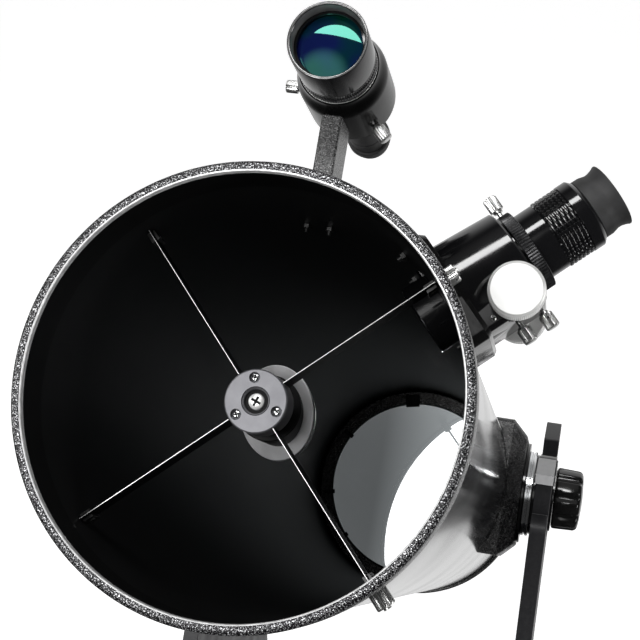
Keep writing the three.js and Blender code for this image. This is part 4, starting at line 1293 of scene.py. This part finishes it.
def make_finder():
    cell = [
        (27.4, 0.7), (28, 0.15), (28.6, 0), (29.3, 0), (29.8, 0.3), (30, 0.9), (30, 36.8), (29.5, 37.2),
        (29.5, 37.7), (30, 38), (30, 38.2), (30, 43.4), (29.4, CELL_END), (26.5, CELL_END), (26.5, 24),
        (25.4, 24), (25.4, 14), (26.6, 12.4), (27.4, 3),
    ]
    add_turned("objective_cell", "finder_objective", "black_anodised", cell, FINDER, None, 384,
               knurl(96, 0.45, 38.1, 43.5), ["finder_cell"], sharp=28)
    face = [(27.5, 0.8), (27.9, 0), (28.4, -0.15), (29.2, -0.15), (29.7, 0.1), (29.7, 0.8)]
    add_turned("objective_rim", "finder_objective", "worn_black", face, FINDER, None, 128)
    liner = [(26.5, 12.3), (27.3, 3), (27.35, 0.9), (27.6, 0.9), (27.6, 3), (26.8, 12.5)]
    add_turned("objective_liner", "finder_objective", "cell_liner", liner, FINDER, None, 128)
    bezel = [(24.6, 10.6), (26.4, 9.8), (26.4, 12.6), (24.6, 12.6)]
    add_turned("objective_bezel", "finder_objective", "black_anodised", bezel, FINDER, None, 96)
    glass = [(25 * i / 16, 12.5 + 2.5 * (i / 16) ** 2) for i in range(17)] + [(25, 22), (0, 24)]
    add_turned("objective_glass", "finder_objective", "coated_glass", glass, FINDER, None, 96,
               replaces=["finder_lens"])
    tube = [
        (26, CELL_END + GAP), (29, CELL_END + GAP), (29, 129), (28.4, 131), (25, 142), (18.4, 171),
        (17, 175), (16.5, 177), (14, 177), (14, 176), (22, 142), (26, 128),
    ]
    add_turned("finder_barrel", "finder", "black_anodised", tube, FINDER, None, 128, replaces=["finder_tube"])
    tail = [
        (14, 177), (16.5, 177), (16.5, 199), (16, 199.4), (16, 200.4), (16.5, 200.8), (16.5, 217.4),
        (16, 218), (14, 218),
    ]
    add_turned("finder_tail", "finder", "rubber", tail, FINDER, None, 96)
    lock = [(28.9, 44.7), (29.8, 44.7), (30.1, 45), (30.1, 50.5), (29.8, 50.8), (28.9, 50.8)]
    add_turned("finder_lock_ring", "finder", "black_knurl", lock, FINDER, None, 384,
               knurl(96, 0.45, 44.9, 50.6), sharp=28)
    band = [(28.9, 50.9), (30, 50.9), (30.1, 51), (30.1, 51.4), (30, 51.5), (28.9, 51.5)]
    add_turned("finder_bright_line", "finder", "satin_metal", band, FINDER, None, 128)
    ocular = [
        (0, 190), (13.7, 190), (13.7, 218.3), (18.4, 218.3), (19, 219), (19, 225.4), (18.2, 229), (17, 234),
        (16.2, 235), (11, 235), (9, 232), (9, 222), (0, 222),
    ]
    add_turned("finder_ocular", "finder", "rubber", ocular, FINDER, None, 96, replaces=["finder_eyepiece"])
    eye = [(0, 229.5), (5, 229.1), (8.9, 228), (8.9, 225), (0, 225)]
    add_turned("finder_eye_lens", "finder", "coated_glass", eye, FINDER, None, 48)
    make_bracket()
    make_shoe()


def finder_spoke(angle):
    """Points outwards from the finder's axis, at the bracket's screws."""
    return about_y(angle, 0, FINDER_SCREW_Y) @ outward(1)


def make_bracket():
    inner, outer, front, back = 31.5, 35.5, 52, 122
    flare = [(31.2 + 4.3 * (0.5 - 0.5 * math.cos(math.pi * i / 10)), front + 2 * i) for i in range(11)]
    profile = [
        (30.2, front + 0.3), *flare, (outer, back - 1), (outer - 1, back), (inner + 0.8, back),
        (inner, back - 0.8), (inner, 68),
    ]
    cutters = []
    for angle in (LEFT_SCREW, RIGHT_SCREW, PLUNGER):
        cutters.append(rod_tool(2.3, 25, 45, 24, finder_spoke(angle)))
    bm = drawn(lambda b: turn(b, [*profile, profile[0]], 128))
    add_piece("bracket_ring", "finder_arm", bm, FINDER, "satin_black", bevel=0.2,
              replaces=["finder_bracket"], cuts=cutters)

    def arm(b):
        side_view = [(66, SHOE_FOOT - 4), (106, SHOE_FOOT - 4), (106, -33.5), (66, -33.5)]
        prism(b, side_view, FOOT_X - 8, FOOT_X + 8, plate(1))

    add_piece("bracket_arm", "finder_arm", drawn(arm), FINDER, "hammertone", bevel=1.6)

    def dovetail(b):
        low, high = SHOE_FOOT - 9, SHOE_FOOT - 0.3
        outline = [(FOOT_X - 11, low), (FOOT_X + 11, low), (FOOT_X + 9, high), (FOOT_X - 9, high)]
        prism(b, outline, 60, 112, FACING)

    add_piece("bracket_dovetail", "finder_arm", drawn(dovetail), FINDER, "black_anodised",
              bevel=0.4)
    for name, angle, neck, end, r in (("left", LEFT_SCREW, 40, 52.4, 5.2),
                                      ("right", RIGHT_SCREW, 36.4, 50.6, 5.6)):
        add_thumb_screw(f"finder_thumb_screw_{name}", f"finder_adjuster_{name}", FINDER, finder_spoke(angle),
                        29.6, neck, end, r, [f"finder_screw_{name}"], teeth=20)
    plunger = [
        (0, 30.4), (2, 30.4), (2, 35.2), (5.4, 35.2), (6, 35.7), (6, 37), (5.4, 37.6), (2.4, 37.6),
        (2.4, 37.2), (0, 37.2),
    ]
    add_turned("finder_plunger", "finder_arm", "black_anodised", plunger, FINDER, finder_spoke(PLUNGER), 48)


def make_shoe():
    start, end = 60 + SHOE_START, 60 + 110
    low, high = TUBE_R - 6, TUBE_R + 17
    middle = (start + end) / 2

    def shoe(b):
        loft(b, [(rounded(19, 24, 3), low), (rounded(19, 24, 3), high - 1), (rounded(18.2, 23.2, 2.6), high)],
             at(FINDER_FOOT_X, middle, 0))

    saddle = rod_tool(TUBE_R + 0.4, 0, 400, 256)
    left, right = FINDER_FOOT_X - 11.3, FINDER_FOOT_X + 11.3
    way = tool(lambda b: brick(b, left, right, 0, 400, TUBE_R + 10.5, TUBE_R + 40))
    add_piece("shoe", "ota", drawn(shoe), TUBE, "black_anodised", bevel=0.6,
              replaces=["finder_shoe"], cuts=[saddle, way])
    lock = at(FINDER_FOOT_X, middle, TUBE_R + 13.5) @ outward(-1)
    head = [(0, 12), (1.9, 12), (1.9, 21), (4, 21), (5, 22), (5, 29), (4.2, 30), (0, 30)]
    add_turned("shoe_lock_screw", "ota", "steel", head, TUBE, lock, 96, knurl(24, 0.4, 21.9, 29.1), sharp=28)
    for i, across in enumerate((-9, 9)):
        add_inner_nut(f"shoe_nut_{i + 1}", TUBE, FINDER_FOOT_X + across, middle, 0.1, 3.6, 2.8, 1.7, 6)


make_ground()
make_rocker()
make_altitude_bearings()
make_tube()
make_tail()
make_primary()
make_spider()
make_diagonal()
make_focuser()
make_finder()

# Every CAD piece has its materials cleared and takes the smooth_paint look.
for node in frame["nodes"].values():
    node.data.materials.clear()
    node.data.materials.append(LOOKS["smooth_paint"])
